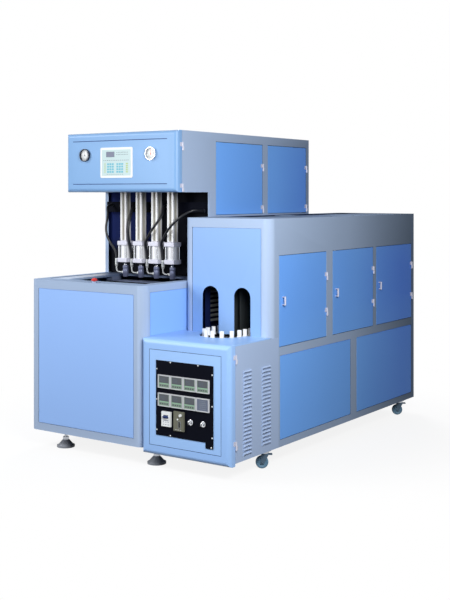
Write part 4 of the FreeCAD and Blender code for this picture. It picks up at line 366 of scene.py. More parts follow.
class Builder:
    """Gathers shapes with their materials into one piece."""

    def __init__(self, name):
        self.name = name
        self.mesh = bmesh.new()
        self.looks = []

    def look(self, material):
        """The index of a material, which is added if the piece doesn't have it."""
        if material not in self.looks:
            self.looks.append(material)
        return self.looks.index(material)

    def ring(self, centre, side, other, radius, steps):
        """Points on a circle."""
        angles = (2 * math.pi * step / steps for step in range(steps))
        return [self.mesh.verts.new(centre + (side * math.cos(angle) + other * math.sin(angle)) * radius)
                for angle in angles]

    def bevel(self, edges, width, segments):
        """Rounded edges."""
        bmesh.ops.bevel(self.mesh, geom=edges, offset=width, segments=segments, profile=ROUND,
                        affect="EDGES")

    def box(self, low, high, look, bevel=0.0, segments=2, turn=None):
        """A block with rounded edges."""
        low, high = Vector(low), Vector(high)
        made = bmesh.ops.create_cube(self.mesh, size=1)["verts"]
        for vertex in made:
            vertex.co = Vector(((low[axis] + high[axis]) / 2 + vertex.co[axis] * (high[axis] - low[axis])
                                for axis in range(3)))
        if turn is not None:
            bmesh.ops.transform(self.mesh, matrix=turn, verts=made)
        for face in {face for vertex in made for face in vertex.link_faces}:
            face.material_index = self.look(look)
        if bevel:
            self.bevel(list({edge for vertex in made for edge in vertex.link_edges}), bevel, segments)

    def lathe(self, profile, centre, axis, look, steps=32):
        """A surface turned about an axis from (radius, distance along) pairs."""
        along = Vector(axis).normalized()
        side = along.orthogonal().normalized()
        other = along.cross(side)
        centre = Vector(centre)
        rings = []
        for radius, distance in profile:
            base = centre + along * distance
            if radius < ON_AXIS:
                rings.append([self.mesh.verts.new(base)])
            else:
                rings.append(self.ring(base, side, other, radius, steps))
        index = self.look(look)
        for first, second in zip(rings, rings[1:]):
            for step in range(steps):
                following = (step + 1) % steps
                corners = [first[step % len(first)], first[following % len(first)],
                           second[following % len(second)], second[step % len(second)]]
                unique = list(dict.fromkeys(corners))
                if len(unique) > 2:
                    face = self.mesh.faces.new(unique)
                    face.material_index = index
                    face.smooth = True

    def prism(self, outline, low, high, look, bevel=0.0):
        """An upright prism from (x, y) points. Gives its faces: bottom, top, then the sides."""
        bottom = [self.mesh.verts.new((x, y, low)) for x, y in outline]
        top = [self.mesh.verts.new((x, y, high)) for x, y in outline]
        index = self.look(look)
        faces = [self.mesh.faces.new(list(reversed(bottom))), self.mesh.faces.new(top)]
        for step in range(len(outline)):
            following = (step + 1) % len(outline)
            faces.append(self.mesh.faces.new([bottom[step], bottom[following], top[following], top[step]]))
        for face in faces:
            face.material_index = index
        if bevel:
            self.bevel([edge for face in faces[:2] for edge in face.edges], bevel, 2)
        return faces

    def tube(self, points, radius, look, steps=14):
        """A round tube through points, with closed ends."""
        points = [Vector(point) for point in points]
        index = self.look(look)
        rings = []
        normal = (points[1] - points[0]).orthogonal().normalized()
        for step, point in enumerate(points):
            before, after = points[max(step - 1, 0)], points[min(step + 1, len(points) - 1)]
            along = (after - before).normalized()
            normal = (normal - along * normal.dot(along)).normalized()
            rings.append(self.ring(point, normal, along.cross(normal), radius, steps))
        for first, second in zip(rings, rings[1:]):
            for turn in range(steps):
                following = (turn + 1) % steps
                corners = [first[turn], first[following], second[following], second[turn]]
                face = self.mesh.faces.new(corners)
                face.material_index = index
                face.smooth = True
        for ring, flip in ((rings[0], True), (rings[-1], False)):
            face = self.mesh.faces.new(list(reversed(ring)) if flip else ring)
            face.material_index = index

    def done(self, body=None, replaces=()):
        """The finished piece, riding on a body."""
        bmesh.ops.recalc_face_normals(self.mesh, faces=self.mesh.faces)
        mesh = bpy.data.meshes.new(self.name)
        self.mesh.to_mesh(mesh)
        self.mesh.free()
        for look in self.looks:
            mesh.materials.append(look)
        piece = bpy.data.objects.new(self.name, mesh)
        bpy.context.scene.collection.objects.link(piece)
        if body:
            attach(piece, body)
        if replaces:
            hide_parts(*replaces)
        return piece


def hexagon(x, y, radius):
    """Corners of a hexagon about an upright axis."""
    angles = [math.radians(60 * step + 30) for step in range(6)]
    return [(x + radius * math.cos(angle), y + radius * math.sin(angle)) for angle in angles]


def tile(piece, corner, area, depths, look, bevel=0.0):
    """A thin block on an upright front.

    The corner is a point of that front, and the area is left, bottom, right and top from there.
    The depths say how far the block stands out of the front, and how far out its back begins.
    """
    x, y, z = corner
    left, low, right, high = area
    out, back = depths
    piece.box((x + left, y - out, z + low), (x + right, y - back, z + high), look, bevel)


def lay_tiles(piece, corner, tiles):
    """A set of tiles on one front."""
    for area, depths, look, bevel in tiles:
        tile(piece, corner, area, depths, look, bevel)


# ------------------------------------ header door fittings
GAUGE_Z = TOWER_TOP - 0.142
GAUGES = {"left": BX0 + 0.168, "right": BX0 + 0.717}
DIAL_Y = HEADER_Y - 0.005
DIAL_RADIUS = 0.0365
DIAL = [(0, 0), (DIAL_RADIUS, 0), (DIAL_RADIUS, -0.0006), (0, -0.0006)]
MARK_COUNT, MARK_FIRST, MARK_STEP = 31, -135, 9         # the last two in degrees
LONG_MARK_EVERY = 5
LONG_MARK, SHORT_MARK = (0.026, 0.0006), (0.0295, 0.0003)       # inner end and half width
MARK_OUTER = 0.033
MARK_FRONT, MARK_BACK = 0.0009, 0.0005
BEZEL_FRONT = HEADER_Y - 0.014
BEZEL = [(0.0370, 0.0045), (0.0370, 0.0012), (0.0380, 0.0002), (0.0395, 0.0), (0.0408, 0.0012),
         (0.0410, 0.003), (0.0410, 0.0135), (0.0400, 0.0140)]
# the right bezel's pale grey is a painted reflection
BEZEL_LOOKS = {"left": DARK_STEEL, "right": BEZEL_REFLECTION}


def gauges():
    """Dial faces with tick marks, and rounded bezels."""
    for side, x in GAUGES.items():
        dial = Builder(f"gauge_dial_{side}")
        dial.lathe(DIAL, (x, DIAL_Y, GAUGE_Z), ALONG_Y, WHITE, steps=48)
        for step in range(MARK_COUNT):
            angle = math.radians(MARK_FIRST + MARK_STEP * step)
            inner, half = SHORT_MARK if step % LONG_MARK_EVERY else LONG_MARK
            turn = Matrix.Translation((x, 0, GAUGE_Z)) @ Matrix.Rotation(angle, 4, "Y")
            dial.box((-half, DIAL_Y - MARK_FRONT, inner), (half, DIAL_Y - MARK_BACK, MARK_OUTER), INK,
                     turn=turn)
        dial.done("header_door")
        ring = Builder(f"gauge_bezel_{side}")
        ring.lathe(BEZEL, (x, BEZEL_FRONT, GAUGE_Z), ALONG_Y, BEZEL_LOOKS[side], steps=56)
        ring.done("header_door")


# Tiles, here and below, are written as area, depths, material and rounding.
KEYPAD_X, KEYPAD_Z = BX0 + 0.300, TOWER_TOP - 0.097     # its left edge and its top
KEYPAD_FRONT = HEADER_Y - 0.003
FILM_TILES = [
    ((0.014, -0.180, 0.254, -0.014), (0.0005, 0), OVERLAY, 0.0002),             # film
    ((0.050, -0.062, 0.120, -0.026), (0.0016, 0.0004), INK, 0.0008),            # display's rim
    ((0.053, -0.059, 0.117, -0.029), (0.0020, 0.0015), LCD, 0.0003),            # display
]
KEY_BACK, KEY_BEVEL = 0.0004, 0.0003
KEY_OUT, PRINT_OUT = 0.0011, 0.0007     # how far keys and printed marks stand out
# groups of keys and marks: left and top of the first, columns and rows, pitch across and down,
# width and height of one, material, and how far they stand out
KEY_GROUPS = [
    (0.136, 0.030, 8, 2, 0.0125, 0.014, 0.007, 0.004, INK, PRINT_OUT),
    (0.026, 0.080, 14, 1, 0.0155, 0, 0.008, 0.004, INK, PRINT_OUT),
    (0.058, 0.100, 3, 4, 0.020, 0.0165, 0.0165, 0.0125, TEAL, KEY_OUT),
    (0.136, 0.100, 3, 4, 0.020, 0.0165, 0.0165, 0.0125, TEAL, KEY_OUT),
    (0.036, 0.100, 1, 5, 0, 0.013, 0.008, 0.009, LIME, KEY_OUT),
    (0.214, 0.100, 1, 5, 0, 0.013, 0.018, 0.009, LIME, KEY_OUT),
    (0.056, 0.170, 9, 1, 0.016, 0, 0.008, 0.003, INK, PRINT_OUT),
]


def keypad():
    """Film with a display, rows of marks and groups of coloured keys."""
    film = Builder("keypad_film")
    corner = (KEYPAD_X, KEYPAD_FRONT, KEYPAD_Z)
    lay_tiles(film, corner, FILM_TILES)
    for left, top, columns, rows, across, down, wide, tall, look, out in KEY_GROUPS:
        for column in range(columns):
            for row in range(rows):
                x, z = left + across * column, -top - down * row
                tile(film, corner, (x, z - tall, x + wide, z), (out, KEY_BACK), look, KEY_BEVEL)
    film.done("header_door")


# ------------------------------------ blow stations
PROFILE_BOTTOM, PROFILE_TOP = 1.282, 1.922
PROFILE_HALF = 0.025
PROFILE_CAP = 0.006                     # height of an end cap
PROFILE_CHAMFER = 0.001
FLUTE_HALF, FLUTE_DEPTH = 0.012, 0.0014
SLOT_HALF, SLOT_LIP, SLOT_DEPTH = 0.003, 0.0016, 0.0055
SLOT_UNDERCUT = 0.002
FLUTE_REACH = 0.0245                    # faces nearer than this to the axis belong to a flute, whose darker colour is a painted shade


def profile_outline(x, y):
    """A square aluminium section with a shallow flute and a T-slot in the middle of each side."""
    half, edge = PROFILE_HALF, PROFILE_CHAMFER
    floor, wide = half - FLUTE_DEPTH, SLOT_HALF + SLOT_UNDERCUT
    lip, deep = floor - SLOT_LIP, floor - SLOT_DEPTH
    quarter = [(half, -half + edge), (half, -FLUTE_HALF), (floor, -FLUTE_HALF + edge),
               (floor, -SLOT_HALF), (lip, -SLOT_HALF), (lip, -wide), (deep, -wide),
               (deep, wide), (lip, wide), (lip, SLOT_HALF),
               (floor, SLOT_HALF), (floor, FLUTE_HALF - edge), (half, FLUTE_HALF),
               (half, half - edge), (half - edge, half)]
    outline = []
    for turn in range(4):
        cosine, sine = math.cos(math.pi / 2 * turn), math.sin(math.pi / 2 * turn)
        outline += [(x + px * cosine - py * sine, y + px * sine + py * cosine) for px, py in quarter]
    return outline


def stretch_cylinders():
    """Grooved square profiles with end caps; the flutes' faces are painted darker, as shade."""
    piece = Builder("stretch_profiles")
    bottom, top = PROFILE_BOTTOM + PROFILE_CAP, PROFILE_TOP - PROFILE_CAP
    for x in STATIONS:
        # flute faces get a darker colour: painted shade
        flute = piece.look(FLUTE)
        for face in piece.prism(profile_outline(x, STATION_Y), bottom, top, ALUMINIUM)[2:]:
            middle = face.calc_center_median()
            if max(abs(middle.x - x), abs(middle.y - STATION_Y)) < FLUTE_REACH:
                face.material_index = flute
        for low, high in ((PROFILE_BOTTOM, bottom), (top, PROFILE_TOP)):
            piece.box((x - PROFILE_HALF, STATION_Y - PROFILE_HALF, low),
                      (x + PROFILE_HALF, STATION_Y + PROFILE_HALF, high), CAST, bevel=0.0012)
    piece.done("machine", ["stretch_cylinders"])


SEAL_BOTTOM, SEAL_TOP = 1.140, PROFILE_BOTTOM
SEAL_HALF, SEAL_CAP = 0.040, 0.028
BARREL_RADIUS, TIE_ROD_RADIUS = 0.034, 0.005
TIE_ROD_PLACE = 0.031                   # from the axis, along x and y
CAP_SCREW = [(0, 0), (0.0042, 0), (0.0052, 0.001), (0.0052, 0.002)]


def seal_cylinders():
    """Caps with rounded corners, a drawn barrel, tie rods and cap screws."""
    piece = Builder("seal_cylinder_set")
    barrel = SEAL_BOTTOM + SEAL_CAP
    length = SEAL_TOP - SEAL_BOTTOM - 2 * SEAL_CAP
    for x in STATIONS:
        for low, high in ((SEAL_BOTTOM, barrel), (SEAL_TOP - SEAL_CAP, SEAL_TOP)):
            piece.box((x - SEAL_HALF, STATION_Y - SEAL_HALF, low),
                      (x + SEAL_HALF, STATION_Y + SEAL_HALF, high), CAST, bevel=0.003, segments=3)
        piece.lathe([(BARREL_RADIUS, 0), (BARREL_RADIUS, length)], (x, STATION_Y, barrel), ALONG_Z,
                    ALUMINIUM, steps=40)
        for side in SIDES:
            for end in SIDES:
                rod_x, rod_y = x + side * TIE_ROD_PLACE, STATION_Y + end * TIE_ROD_PLACE
                piece.lathe([(TIE_ROD_RADIUS, 0), (TIE_ROD_RADIUS, length)], (rod_x, rod_y, barrel),
                            ALONG_Z, CHROME, steps=14)
                piece.lathe(CAP_SCREW, (rod_x, rod_y, SEAL_BOTTOM), ALONG_Z, DARK_STEEL, steps=14)
    piece.done("machine", ["seal_cylinders"])


NOZZLE_BOTTOM = 1.042
NOZZLE_BODY = [(0.0064, 0), (0.0155, 0), (0.0175, 0.002), (0.0175, 0.016), (0.0190, 0.018),
               (0.0190, 0.050), (0.0180, 0.052), (0.0180, 0.055), (0.0190, 0.057), (0.0190, 0.074),
               (0.0170, 0.077), (0.0095, 0.077)]
NOZZLE_ROD = [(0.0095, 0.077), (0.0125, 0.0772), (0.0125, 0.084), (0.0095, 0.085), (0.0095, 0.135)]
ELBOW_Z = NOZZLE_BOTTOM + 0.030         # height of an elbow's level part
ELBOW_TOP = 1.164
ELBOW_REACH = 0.079                     # from the nozzle's axis to the elbow's upright part
ELBOW_BEND, ELBOW_BEND_STEPS = 0.022, 12
ELBOW_LEAD = 0.012                      # a point of the level part lies this far before the bend
ELBOW_ROOT = 0.015                      # where the level part begins inside the nozzle
ELBOW_RADIUS = 0.0052
ELBOW_TUBE_END = 0.024                  # below the top, inside the sleeve
ELBOW_COLLAR = [(0.0052, 0), (0.0096, 0.0004), (0.0096, 0.010), (0.0052, 0.0104)]
ELBOW_COLLAR_PLACE = 0.0185             # from the nozzle's axis, at its skin
ELBOW_NUT_RADIUS, ELBOW_NUT_BEVEL = 0.0104, 0.0006
ELBOW_NUT_LOW, ELBOW_NUT_HIGH = 0.054, 0.044        # below the top
ELBOW_SLEEVE = [(0.0052, -0.044), (0.0100, -0.0435), (0.0104, -0.040), (0.0104, -0.006),
                (0.0096, -0.0005), (0.0081, 0.0)]


def nozzles():
    """Turned nozzle bodies with a groove and chamfers, on bright rods."""
    piece = Builder("nozzle_set")
    for x in STATIONS:
        centre = (x, STATION_Y, NOZZLE_BOTTOM)
        piece.lathe(NOZZLE_BODY, centre, ALONG_Z, GUN, steps=40)
        piece.lathe(NOZZLE_ROD, centre, ALONG_Z, CHROME, steps=28)
    piece.done("nozzles", ["blow_nozzles"])


def elbows():
    """Thin bent tubes beside the nozzles, each with a collar, a nut and a white sleeve."""
    piece = Builder("elbow_set")
    for x in STATIONS:
        upright = x - ELBOW_REACH
        points = [(x - ELBOW_ROOT, STATION_Y, ELBOW_Z),
                  (upright + ELBOW_BEND + ELBOW_LEAD, STATION_Y, ELBOW_Z)]
        for step in range(ELBOW_BEND_STEPS + 1):
            angle = math.pi / 2 * step / ELBOW_BEND_STEPS
            points.append((upright + ELBOW_BEND - ELBOW_BEND * math.sin(angle), STATION_Y,
                           ELBOW_Z + ELBOW_BEND - ELBOW_BEND * math.cos(angle)))
        points.append((upright, STATION_Y, ELBOW_TOP - ELBOW_TUBE_END))
        piece.tube(points, ELBOW_RADIUS, FITTING, steps=16)
        piece.lathe(ELBOW_COLLAR, (x - ELBOW_COLLAR_PLACE, STATION_Y, ELBOW_Z), LEFTWARDS, WHITE,
                    steps=6)
        piece.prism(hexagon(upright, STATION_Y, ELBOW_NUT_RADIUS), ELBOW_TOP - ELBOW_NUT_LOW,
                    ELBOW_TOP - ELBOW_NUT_HIGH, FITTING, ELBOW_NUT_BEVEL)
        piece.lathe(ELBOW_SLEEVE, (upright, STATION_Y, ELBOW_TOP), ALONG_Z, WHITE, steps=28)
    piece.done("nozzles", ["nozzle_elbows"])


HOSE_RADIUS = 0.008
PORT_Y = BACK_WALL_Y - 0.048
PORT_SLEEVE = [(0.0081, -0.008), (0.0102, -0.0075), (0.0102, 0.001)]
PORT_NUT = [(0.0102, 0.000), (0.0125, 0.0004), (0.0125, 0.0068), (0.0102, 0.0072)]
# each hose: offsets from the top of its elbow, in millimetres, then on to its port on the manifold
HOSE_ROUTES = [
    [(0, 0, 0), (0, 0, 44), (-44, -36, 122), (-62, -44, 200), (-66, -12, 284), (-103, 19, 356)],
    [(0, 0, 0), (0, 0, 44), (-2, -28, 120), (8, -50, 205), (8, -20, 285), (-8, 19, 351)],
    [(0, 0, 0), (0, 0, 50), (4, -28, 112), (50, -44, 164), (123, -70, 232), (160, -36, 292),
     (119, 19, 356)],
    [(0, 0, 0), (0, 0, 50), (6, -28, 112), (46, -46, 160), (122, -70, 232), (206, -60, 296),
     (262, -20, 330), (276, 19, 322)],
]
CURVE_STEPS, CURVE_ORDER = 16, 3


def spline_points(name, points):
    """Points along the smooth curve that has the route's points as its control points."""
    curve = bpy.data.curves.new(name, "CURVE")
    curve.dimensions = "3D"
    curve.resolution_u = CURVE_STEPS
    spline = curve.splines.new("NURBS")
    spline.points.add(len(points) - 1)
    for control, point in zip(spline.points, points):
        control.co = (*point, 1)
    spline.order_u = CURVE_ORDER
    spline.use_endpoint_u = True
    holder = bpy.data.objects.new(name, curve)
    mesh = bpy.data.meshes.new_from_object(holder)
    found = [vertex.co.copy() for vertex in mesh.vertices]
    bpy.data.objects.remove(holder)
    bpy.data.curves.remove(curve)
    bpy.data.meshes.remove(mesh)
    return found


def hoses():
    """Air hoses from the elbows to the manifold."""
    for index, route in enumerate(HOSE_ROUTES):
        start = Vector((STATIONS[index] - ELBOW_REACH, STATION_Y, ELBOW_TOP))
        points = [start + Vector(offset) * MM for offset in route]
        points.append(Vector((points[-1].x, PORT_Y, points[-1].z)))
        line = spline_points(f"hose_line_{index + 1}", points)
        hose = Builder(f"hose_{index + 1}")
        hose.tube(line, HOSE_RADIUS, RUBBER, steps=16)
        piece = hose.done(replaces=["air_hoses"])
        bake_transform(piece)
        port = Builder(f"port_fitting_{index + 1}")
        port.lathe(PORT_SLEEVE, points[-1], ALONG_Y, BLACK, steps=24)
        port.lathe(PORT_NUT, points[-1], ALONG_Y, DARK_STEEL, steps=6)
        port.done("machine")


# ------------------------------------ control panel
METER_FRONT = PLATE_Y - 0.007
METER_X, METER_Z = 0.021, 0.170         # lower left corner of the first controller on the plate
METER_PITCH_X, METER_PITCH_Z = 0.091, 0.104
METER_ROWS, METER_COLUMNS = 2, 4
METER_AREA = (0.005, 0.005, 0.082, 0.070)
METER_TILES = [
    (METER_AREA, (0.0006, 0), METER_FACE, 0.0002),
    ((0.009, 0.030, 0.078, 0.069), (0.0014, 0.0005), METER_DARK, 0.0004),       # display
    ((0.008, 0.0245, 0.079, 0.029), (0.0012, 0.0005), METER_GREEN, 0.0003),     # strip under it
]
METER_TILES += [((0.014 + 0.016 * key, 0.0115, 0.024 + 0.016 * key, 0.0195), (0.0016, 0.0005),
                 METER_DARK, 0.0002) for key in range(4)]
METER_TILES += [((0.016, 0.0395 + 0.008 * bar, 0.050, 0.0410 + 0.008 * bar), (0.0018, 0.0013),
                 INK, 0.0) for bar in range(3)]
LAST_METER_TILES = [(METER_AREA, (0.0006, 0), METER_BLUE, 0.0002)]
LAST_METER_TILES += [((0.020, 0.014 + 0.011 * bar, 0.066, 0.017 + 0.011 * bar), (0.0014, 0.0005),
                      LCD, 0.0003) for bar in range(5)]
BREAKER_CORNER = (PLATE_X + 0.050, PLATE_Y - 0.014, PLATE_Z + 0.058)
BREAKER_TILES = [((0.012 + 0.017 * column, 0.010 + 0.014 * row, 0.020 + 0.017 * column,
                   0.013 + 0.014 * row), (0.0006, 0), LCD, 0.0002)
                 for column in range(3) for row in range(2)]
BREAKER_TILES.append(((0.012, 0.0335, 0.052, 0.0375), (0.0006, 0), LCD, 0.0002))
REGULATOR_CORNER = (PLATE_X + 0.136, PLATE_Y - 0.012, PLATE_Z + 0.042)
REGULATOR_TILES = [
    ((0.033, 0.018, 0.053, 0.056), (0.0012, 0), CERAMIC, 0.0004),               # window's rim
    ((0.036, 0.021, 0.050, 0.053), (0.0018, 0.0008), BLACK, 0.0004),            # window
]
REGULATOR_TILES += [((0.040, 0.024 + 0.0055 * mark, 0.046, 0.026 + 0.0055 * mark),
                     (0.0022, 0.0015), MODULE, 0.0) for mark in range(5)]
REGULATOR_LOWER_TILES = [((0.014 + 0.016 * mark, 0.006, 0.022 + 0.016 * mark, 0.009),
                          (0.0010, 0), METER_RIM, 0.0) for mark in range(3)]
REGULATOR_DOT = [(0, -0.0040), (0.0045, -0.0036), (0.0052, -0.002), (0.0052, 0)]
REGULATOR_DOT_X, REGULATOR_DOT_Z = 0.030, 0.066
PLATE_SCREW = [(0, -0.0024), (0.0020, -0.0022), (0.0036, -0.0014), (0.0044, 0)]
PLATE_SCREWS = [(0.105, 0.424), (0.300, 0.424), (0.006, 0.380), (0.398, 0.380), (0.006, 0.205),
                (0.398, 0.205), (0.006, 0.030), (0.398, 0.030), (0.105, 0.006), (0.392, -0.024)]


def controller_faces():
    """The faces of eight controllers, of which the last in the lower row is of another kind."""
    faces = Builder("controller_faces")
    for row in range(METER_ROWS):
        for column in range(METER_COLUMNS):
            last = row == 0 and column == METER_COLUMNS - 1
            corner = (PLATE_X + METER_X + METER_PITCH_X * column, METER_FRONT,
                      PLATE_Z + METER_Z + METER_PITCH_Z * row)
            lay_tiles(faces, corner, LAST_METER_TILES if last else METER_TILES)
    faces.done("control_door")


def control_panel():
    """Faces of the controllers, breaker and voltage regulator, and the plate's screws."""
    controller_faces()
    case = Builder("breaker_marks")
    lay_tiles(case, BREAKER_CORNER, BREAKER_TILES)
    case.done("control_door")
    module = Builder("regulator_details")
    lay_tiles(module, REGULATOR_CORNER, REGULATOR_TILES)
    x, y, z = REGULATOR_CORNER
    module.lathe(REGULATOR_DOT, (x + REGULATOR_DOT_X, y, z + REGULATOR_DOT_Z), ALONG_Y, WHITE,
                 steps=24)
    lay_tiles(module, REGULATOR_CORNER, REGULATOR_LOWER_TILES)
    module.done("control_door")
    screws = Builder("plate_screws")
    for x, z in PLATE_SCREWS:
        screws.lathe(PLATE_SCREW, (PLATE_X + x, PLATE_Y, PLATE_Z + z), ALONG_Y, WHITE, steps=18)
    screws.done("control_door")


SELECTORS = {"left": PLATE_X + 0.252, "right": PLATE_X + 0.339}
SELECTOR_Z = PLATE_Z + 0.101
SELECTOR_COLLAR = [(0.0115, 0), (0.0162, 0), (0.0160, -0.0042), (0.0150, -0.0053), (0.0118, -0.0053),
                   (0.0115, -0.0048)]
SELECTOR_KNOB = [(0, -0.0195), (0.0080, -0.0195), (0.0100, -0.0180), (0.0106, -0.0055),
                 (0.0108, -0.0004), (0, -0.0004)]
POINTER_LOW, POINTER_HIGH = (-0.0026, -0.0225, -0.0095), (0.0026, -0.0185, 0.0095)
POINTER_TURN = math.radians(35)


def selector_knobs():
    """Round bright knobs with a dark pointer bar."""
    for side, x in SELECTORS.items():
        centre = (x, PLATE_Y, SELECTOR_Z)
        collar = Builder(f"selector_collar_{side}")
        collar.lathe(SELECTOR_COLLAR, centre, ALONG_Y, CHROME, steps=40)
        collar.done("control_door")
        knob = Builder(f"selector_{side}")
        knob.lathe(SELECTOR_KNOB, centre, ALONG_Y, CHROME, steps=40)
        turn = Matrix.Translation(centre) @ Matrix.Rotation(POINTER_TURN, 4, "Y")
        knob.box(POINTER_LOW, POINTER_HIGH, BLACK, bevel=0.0008, turn=turn)
        knob.done(f"selector_knob_{side}", [f"selector_knob_{side}"])


# ------------------------------------ oven
ZONE_START, ZONE_LENGTH, ZONE_PAUSE, ZONE_COUNT = HY0 + 0.556, 0.470, 0.060, 3
LAMP_WALL = 0.084                       # from the heater's side to the axes of the lamps
LAMP_ROWS, LAMP_FIRST, LAMP_PITCH = 8, 0.806, 0.030
RIB_NEAR, RIB_FAR = 0.008, 0.011        # behind the lamps' axes
RIB_HALF, RIB_MARGIN, RIB_BEVEL = 0.009, 0.002, 0.001


def lamp_backs():
    """Grey ribs behind the infra-red lamps, on both lamp walls."""
    ribs = Builder("lamp_backs")
    for x, side in ((HX0 + LAMP_WALL, -1), (HX1 - LAMP_WALL, 1)):
        inner, outer = sorted((x + side * RIB_NEAR, x + side * RIB_FAR))
        for zone in range(ZONE_COUNT):
            y = ZONE_START + zone * (ZONE_LENGTH + ZONE_PAUSE)
            for row in range(LAMP_ROWS):
                z = LAMP_FIRST + LAMP_PITCH * row
                ribs.box((inner, y + RIB_MARGIN, z - RIB_HALF),
                         (outer, y + ZONE_LENGTH - RIB_MARGIN, z + RIB_HALF), CERAMIC, RIB_BEVEL)
    ribs.done("machine")


# ------------------------------------ casters
CASTER_HEADING = math.radians(215)      # where the wheels trail at rest
CASTER_TRAIL = 0.018
AXLE_Z = 0.0375
CASTER_INSET, CASTER_FRONT, CASTER_REAR = 0.027, HY0 + 0.400, HY1 - 0.184
SWIVELS = [(HX1 - CASTER_INSET, CASTER_FRONT), (HX1 - CASTER_INSET, CASTER_REAR),
           (HX0 + CASTER_INSET, CASTER_FRONT), (HX0 + CASTER_INSET, CASTER_REAR)]
TYRE_SECTION = [(0.0245, -0.0100), (0.0300, -0.0125), (0.0350, -0.0112), (0.0370, -0.0080),
                (0.0375, 0), (0.0370, 0.0080), (0.0350, 0.0112), (0.0300, 0.0125), (0.0245, 0.0100)]
HUB_SECTION = [(0.0245, 0.0100), (0.0235, 0.0085), (0.0120, 0.0085), (0.0105, 0.0120),
               (0.0064, 0.0124)]
BOLT_SECTION = [(0, 0.0205), (0.0055, 0.0203), (0.0065, 0.0190), (0.0070, 0.0166)]


def casters():
    """Rounded tyres on hub discs with an axle bolt."""
    axle = Vector((-math.sin(CASTER_HEADING), math.cos(CASTER_HEADING), 0))
    ahead = Vector((math.cos(CASTER_HEADING), math.sin(CASTER_HEADING), 0))
    for index, (x, y) in enumerate(SWIVELS, start=1):
        centre = Vector((x, y, AXLE_Z)) + ahead * CASTER_TRAIL
        wheel = Builder(f"wheel_{index}")
        wheel.lathe(TYRE_SECTION, centre, axle, TYRE, steps=48)
        for side in SIDES:
            wheel.lathe([(radius, out * side) for radius, out in HUB_SECTION], centre, axle, TYRE,
                        steps=40)
        wheel.done(f"caster_wheel_{index}", [f"caster_wheel_{index}"])
        bolt = Builder(f"axle_bolt_{index}")
        for side in SIDES:
            bolt.lathe([(radius, out * side) for radius, out in BOLT_SECTION], centre, axle, FORK,
                       steps=6)
        bolt.done(f"caster_fork_{index}")


# ------------------------------------ stage, light and camera
FLOOR_HALF = 40
FLOOR_ROUGH = 0.9
FLOOR_LIT, FLOOR_SEEN = (0.12, 0.122, 0.125, 1), (0.82, 0.83, 0.85, 1)
GLOW_BEGIN, GLOW_END, GLOW_LEAST = 1.0, 2.3, 0.87       # distances from the middle, and a share
SURROUND_LIT, SURROUND_SEEN = (0.93, 0.96, 1.0, 1), (1, 1, 1, 1)
SURROUND_POWER = 0.08


def seen_directly(nodes, links):
    """A value of 1 for camera, mirror and glass rays, and 0 for the rays that light the object."""
    path = nodes.new("ShaderNodeLightPath")
    value = path.outputs["Is Camera Ray"]
    for kind in ("Is Glossy Ray", "Is Transmission Ray"):
        larger = nodes.new("ShaderNodeMath")
        larger.operation = "MAXIMUM"
        links.new(value, larger.inputs[0])
        links.new(path.outputs[kind], larger.inputs[1])
        value = larger.outputs["Value"]
    return value


def floor_material():
    """White where it is seen, keeping a soft shadow near the object; dark grey for bounced light."""
    material = bpy.data.materials.new("floor_white")
    material.use_nodes = True
    nodes, links = material.node_tree.nodes, material.node_tree.links
    shader = nodes["Principled BSDF"]
    shader.inputs["Roughness"].default_value = FLOOR_ROUGH
    shader.inputs["Specular IOR Level"].default_value = 0.0
    seen = seen_directly(nodes, links)
    links.new(colour_mix(nodes, links, seen, FLOOR_LIT, FLOOR_SEEN), shader.inputs["Base Color"])
    glow = nodes.new("ShaderNodeEmission")
    place = nodes.new("ShaderNodeNewGeometry")
    distance = nodes.new("ShaderNodeVectorMath")
    distance.operation = "LENGTH"
    links.new(place.outputs["Position"], distance.inputs[0])
    fade = map_range(nodes, links, distance.outputs["Value"], GLOW_BEGIN, GLOW_END, low=GLOW_LEAST)
    fade.interpolation_type = "SMOOTHSTEP"
    share = nodes.new("ShaderNodeMath")
    share.operation = "MULTIPLY"
    links.new(seen, share.inputs[0])
    links.new(fade.outputs["Result"], share.inputs[1])
    mix = nodes.new("ShaderNodeMixShader")
    links.new(share.outputs["Value"], mix.inputs["Fac"])
    links.new(shader.outputs["BSDF"], mix.inputs[1])
    links.new(glow.outputs["Emission"], mix.inputs[2])
    links.new(mix.outputs["Shader"], nodes["Material Output"].inputs["Surface"])
    return material


def surround():
    """A surround that looks white and lights little."""
    world = bpy.data.worlds.new("surround")
    bpy.context.scene.world = world
    world.use_nodes = True
    nodes, links = world.node_tree.nodes, world.node_tree.links
    background = nodes["Background"]
    background.inputs["Color"].default_value = SURROUND_LIT
    background.inputs["Strength"].default_value = SURROUND_POWER
    white = nodes.new("ShaderNodeBackground")
    white.inputs["Color"].default_value = SURROUND_SEEN
    mix = nodes.new("ShaderNodeMixShader")
    links.new(seen_directly(nodes, links), mix.inputs["Fac"])
    links.new(background.outputs["Background"], mix.inputs[1])
    links.new(white.outputs["Background"], mix.inputs[2])
    links.new(mix.outputs["Shader"], nodes["World Output"].inputs["Surface"])


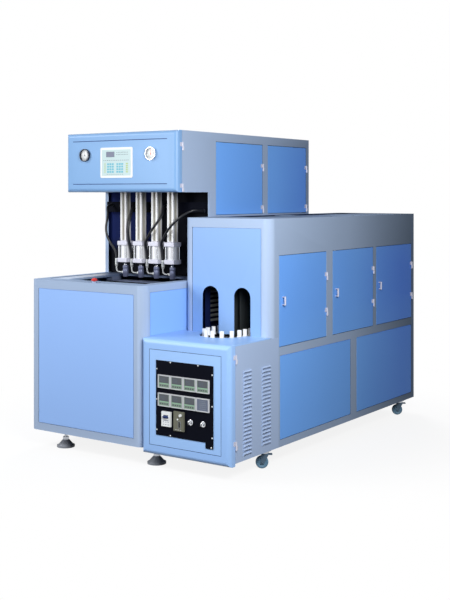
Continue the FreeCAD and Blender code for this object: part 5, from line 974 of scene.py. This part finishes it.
def stage():
    """White floor that keeps a soft shadow."""
    mesh = bpy.data.meshes.new("floor")
    half = FLOOR_HALF
    mesh.from_pydata([(-half, -half, 0), (half, -half, 0), (half, half, 0), (-half, half, 0)], [],
                     [(0, 1, 2, 3)])
    floor = bpy.data.objects.new("floor", mesh)
    bpy.context.scene.collection.objects.link(floor)
    mesh.materials.append(floor_material())


def lamp(name, place, target, size, power):
    """A soft square lamp aimed at a point, out of the camera's sight."""
    light = bpy.data.lights.new(name, "AREA")
    light.shape = "SQUARE"
    light.size = size
    light.energy = power
    holder = bpy.data.objects.new(name, light)
    holder.location = place
    holder.rotation_euler = (Vector(target) - Vector(place)).to_track_quat("-Z", "Y").to_euler()
    holder.visible_camera = False
    bpy.context.scene.collection.objects.link(holder)


LIT_MIDDLE = (0, -0.2, 0.9)
# each lamp: its place, its size, and its power in watts
STUDIO_LAMPS = {
    "key": ((2.62, -2.68, 2.26), 1.2, 122),
    "low_fill": ((-2.07, -4.39, 1.85), 1.2, 62),
    "high_fill": ((-3.41, -3.76, 3.78), 1.6, 128),
    "back": ((-2.9, 4.4, 3.2), 2.0, 330),
}


def lights():
    """Key from the right front, two fills from the left front, and a lamp behind the object."""
    for name, (place, size, power) in STUDIO_LAMPS.items():
        lamp(name, place, LIT_MIDDLE, size, power)


CAMERA_PLACE = (4.024, -5.9145, 1.599)
CAMERA_YAW = math.radians(34.816)
CAMERA_SENSOR, CAMERA_LENS = 36, 62.82  # millimetres
CAMERA_SHIFT = -0.1777                  # a share of the picture's longer side


def camera():
    """The photograph's viewpoint, level, with the horizon above the middle."""
    data = bpy.data.cameras.new("camera")
    data.sensor_width = CAMERA_SENSOR
    data.lens = CAMERA_LENS
    data.shift_y = CAMERA_SHIFT
    holder = bpy.data.objects.new("camera", data)
    holder.location = CAMERA_PLACE
    holder.rotation_euler = (math.radians(90), 0, CAMERA_YAW)
    bpy.context.scene.collection.objects.link(holder)
    bpy.context.scene.camera = holder


dress_cad()
gauges()
keypad()
stretch_cylinders()
seal_cylinders()
nozzles()
elbows()
hoses()
control_panel()
selector_knobs()
lamp_backs()
casters()
stage()
surround()
lights()
camera()
bpy.context.scene.view_settings.view_transform = "Standard"
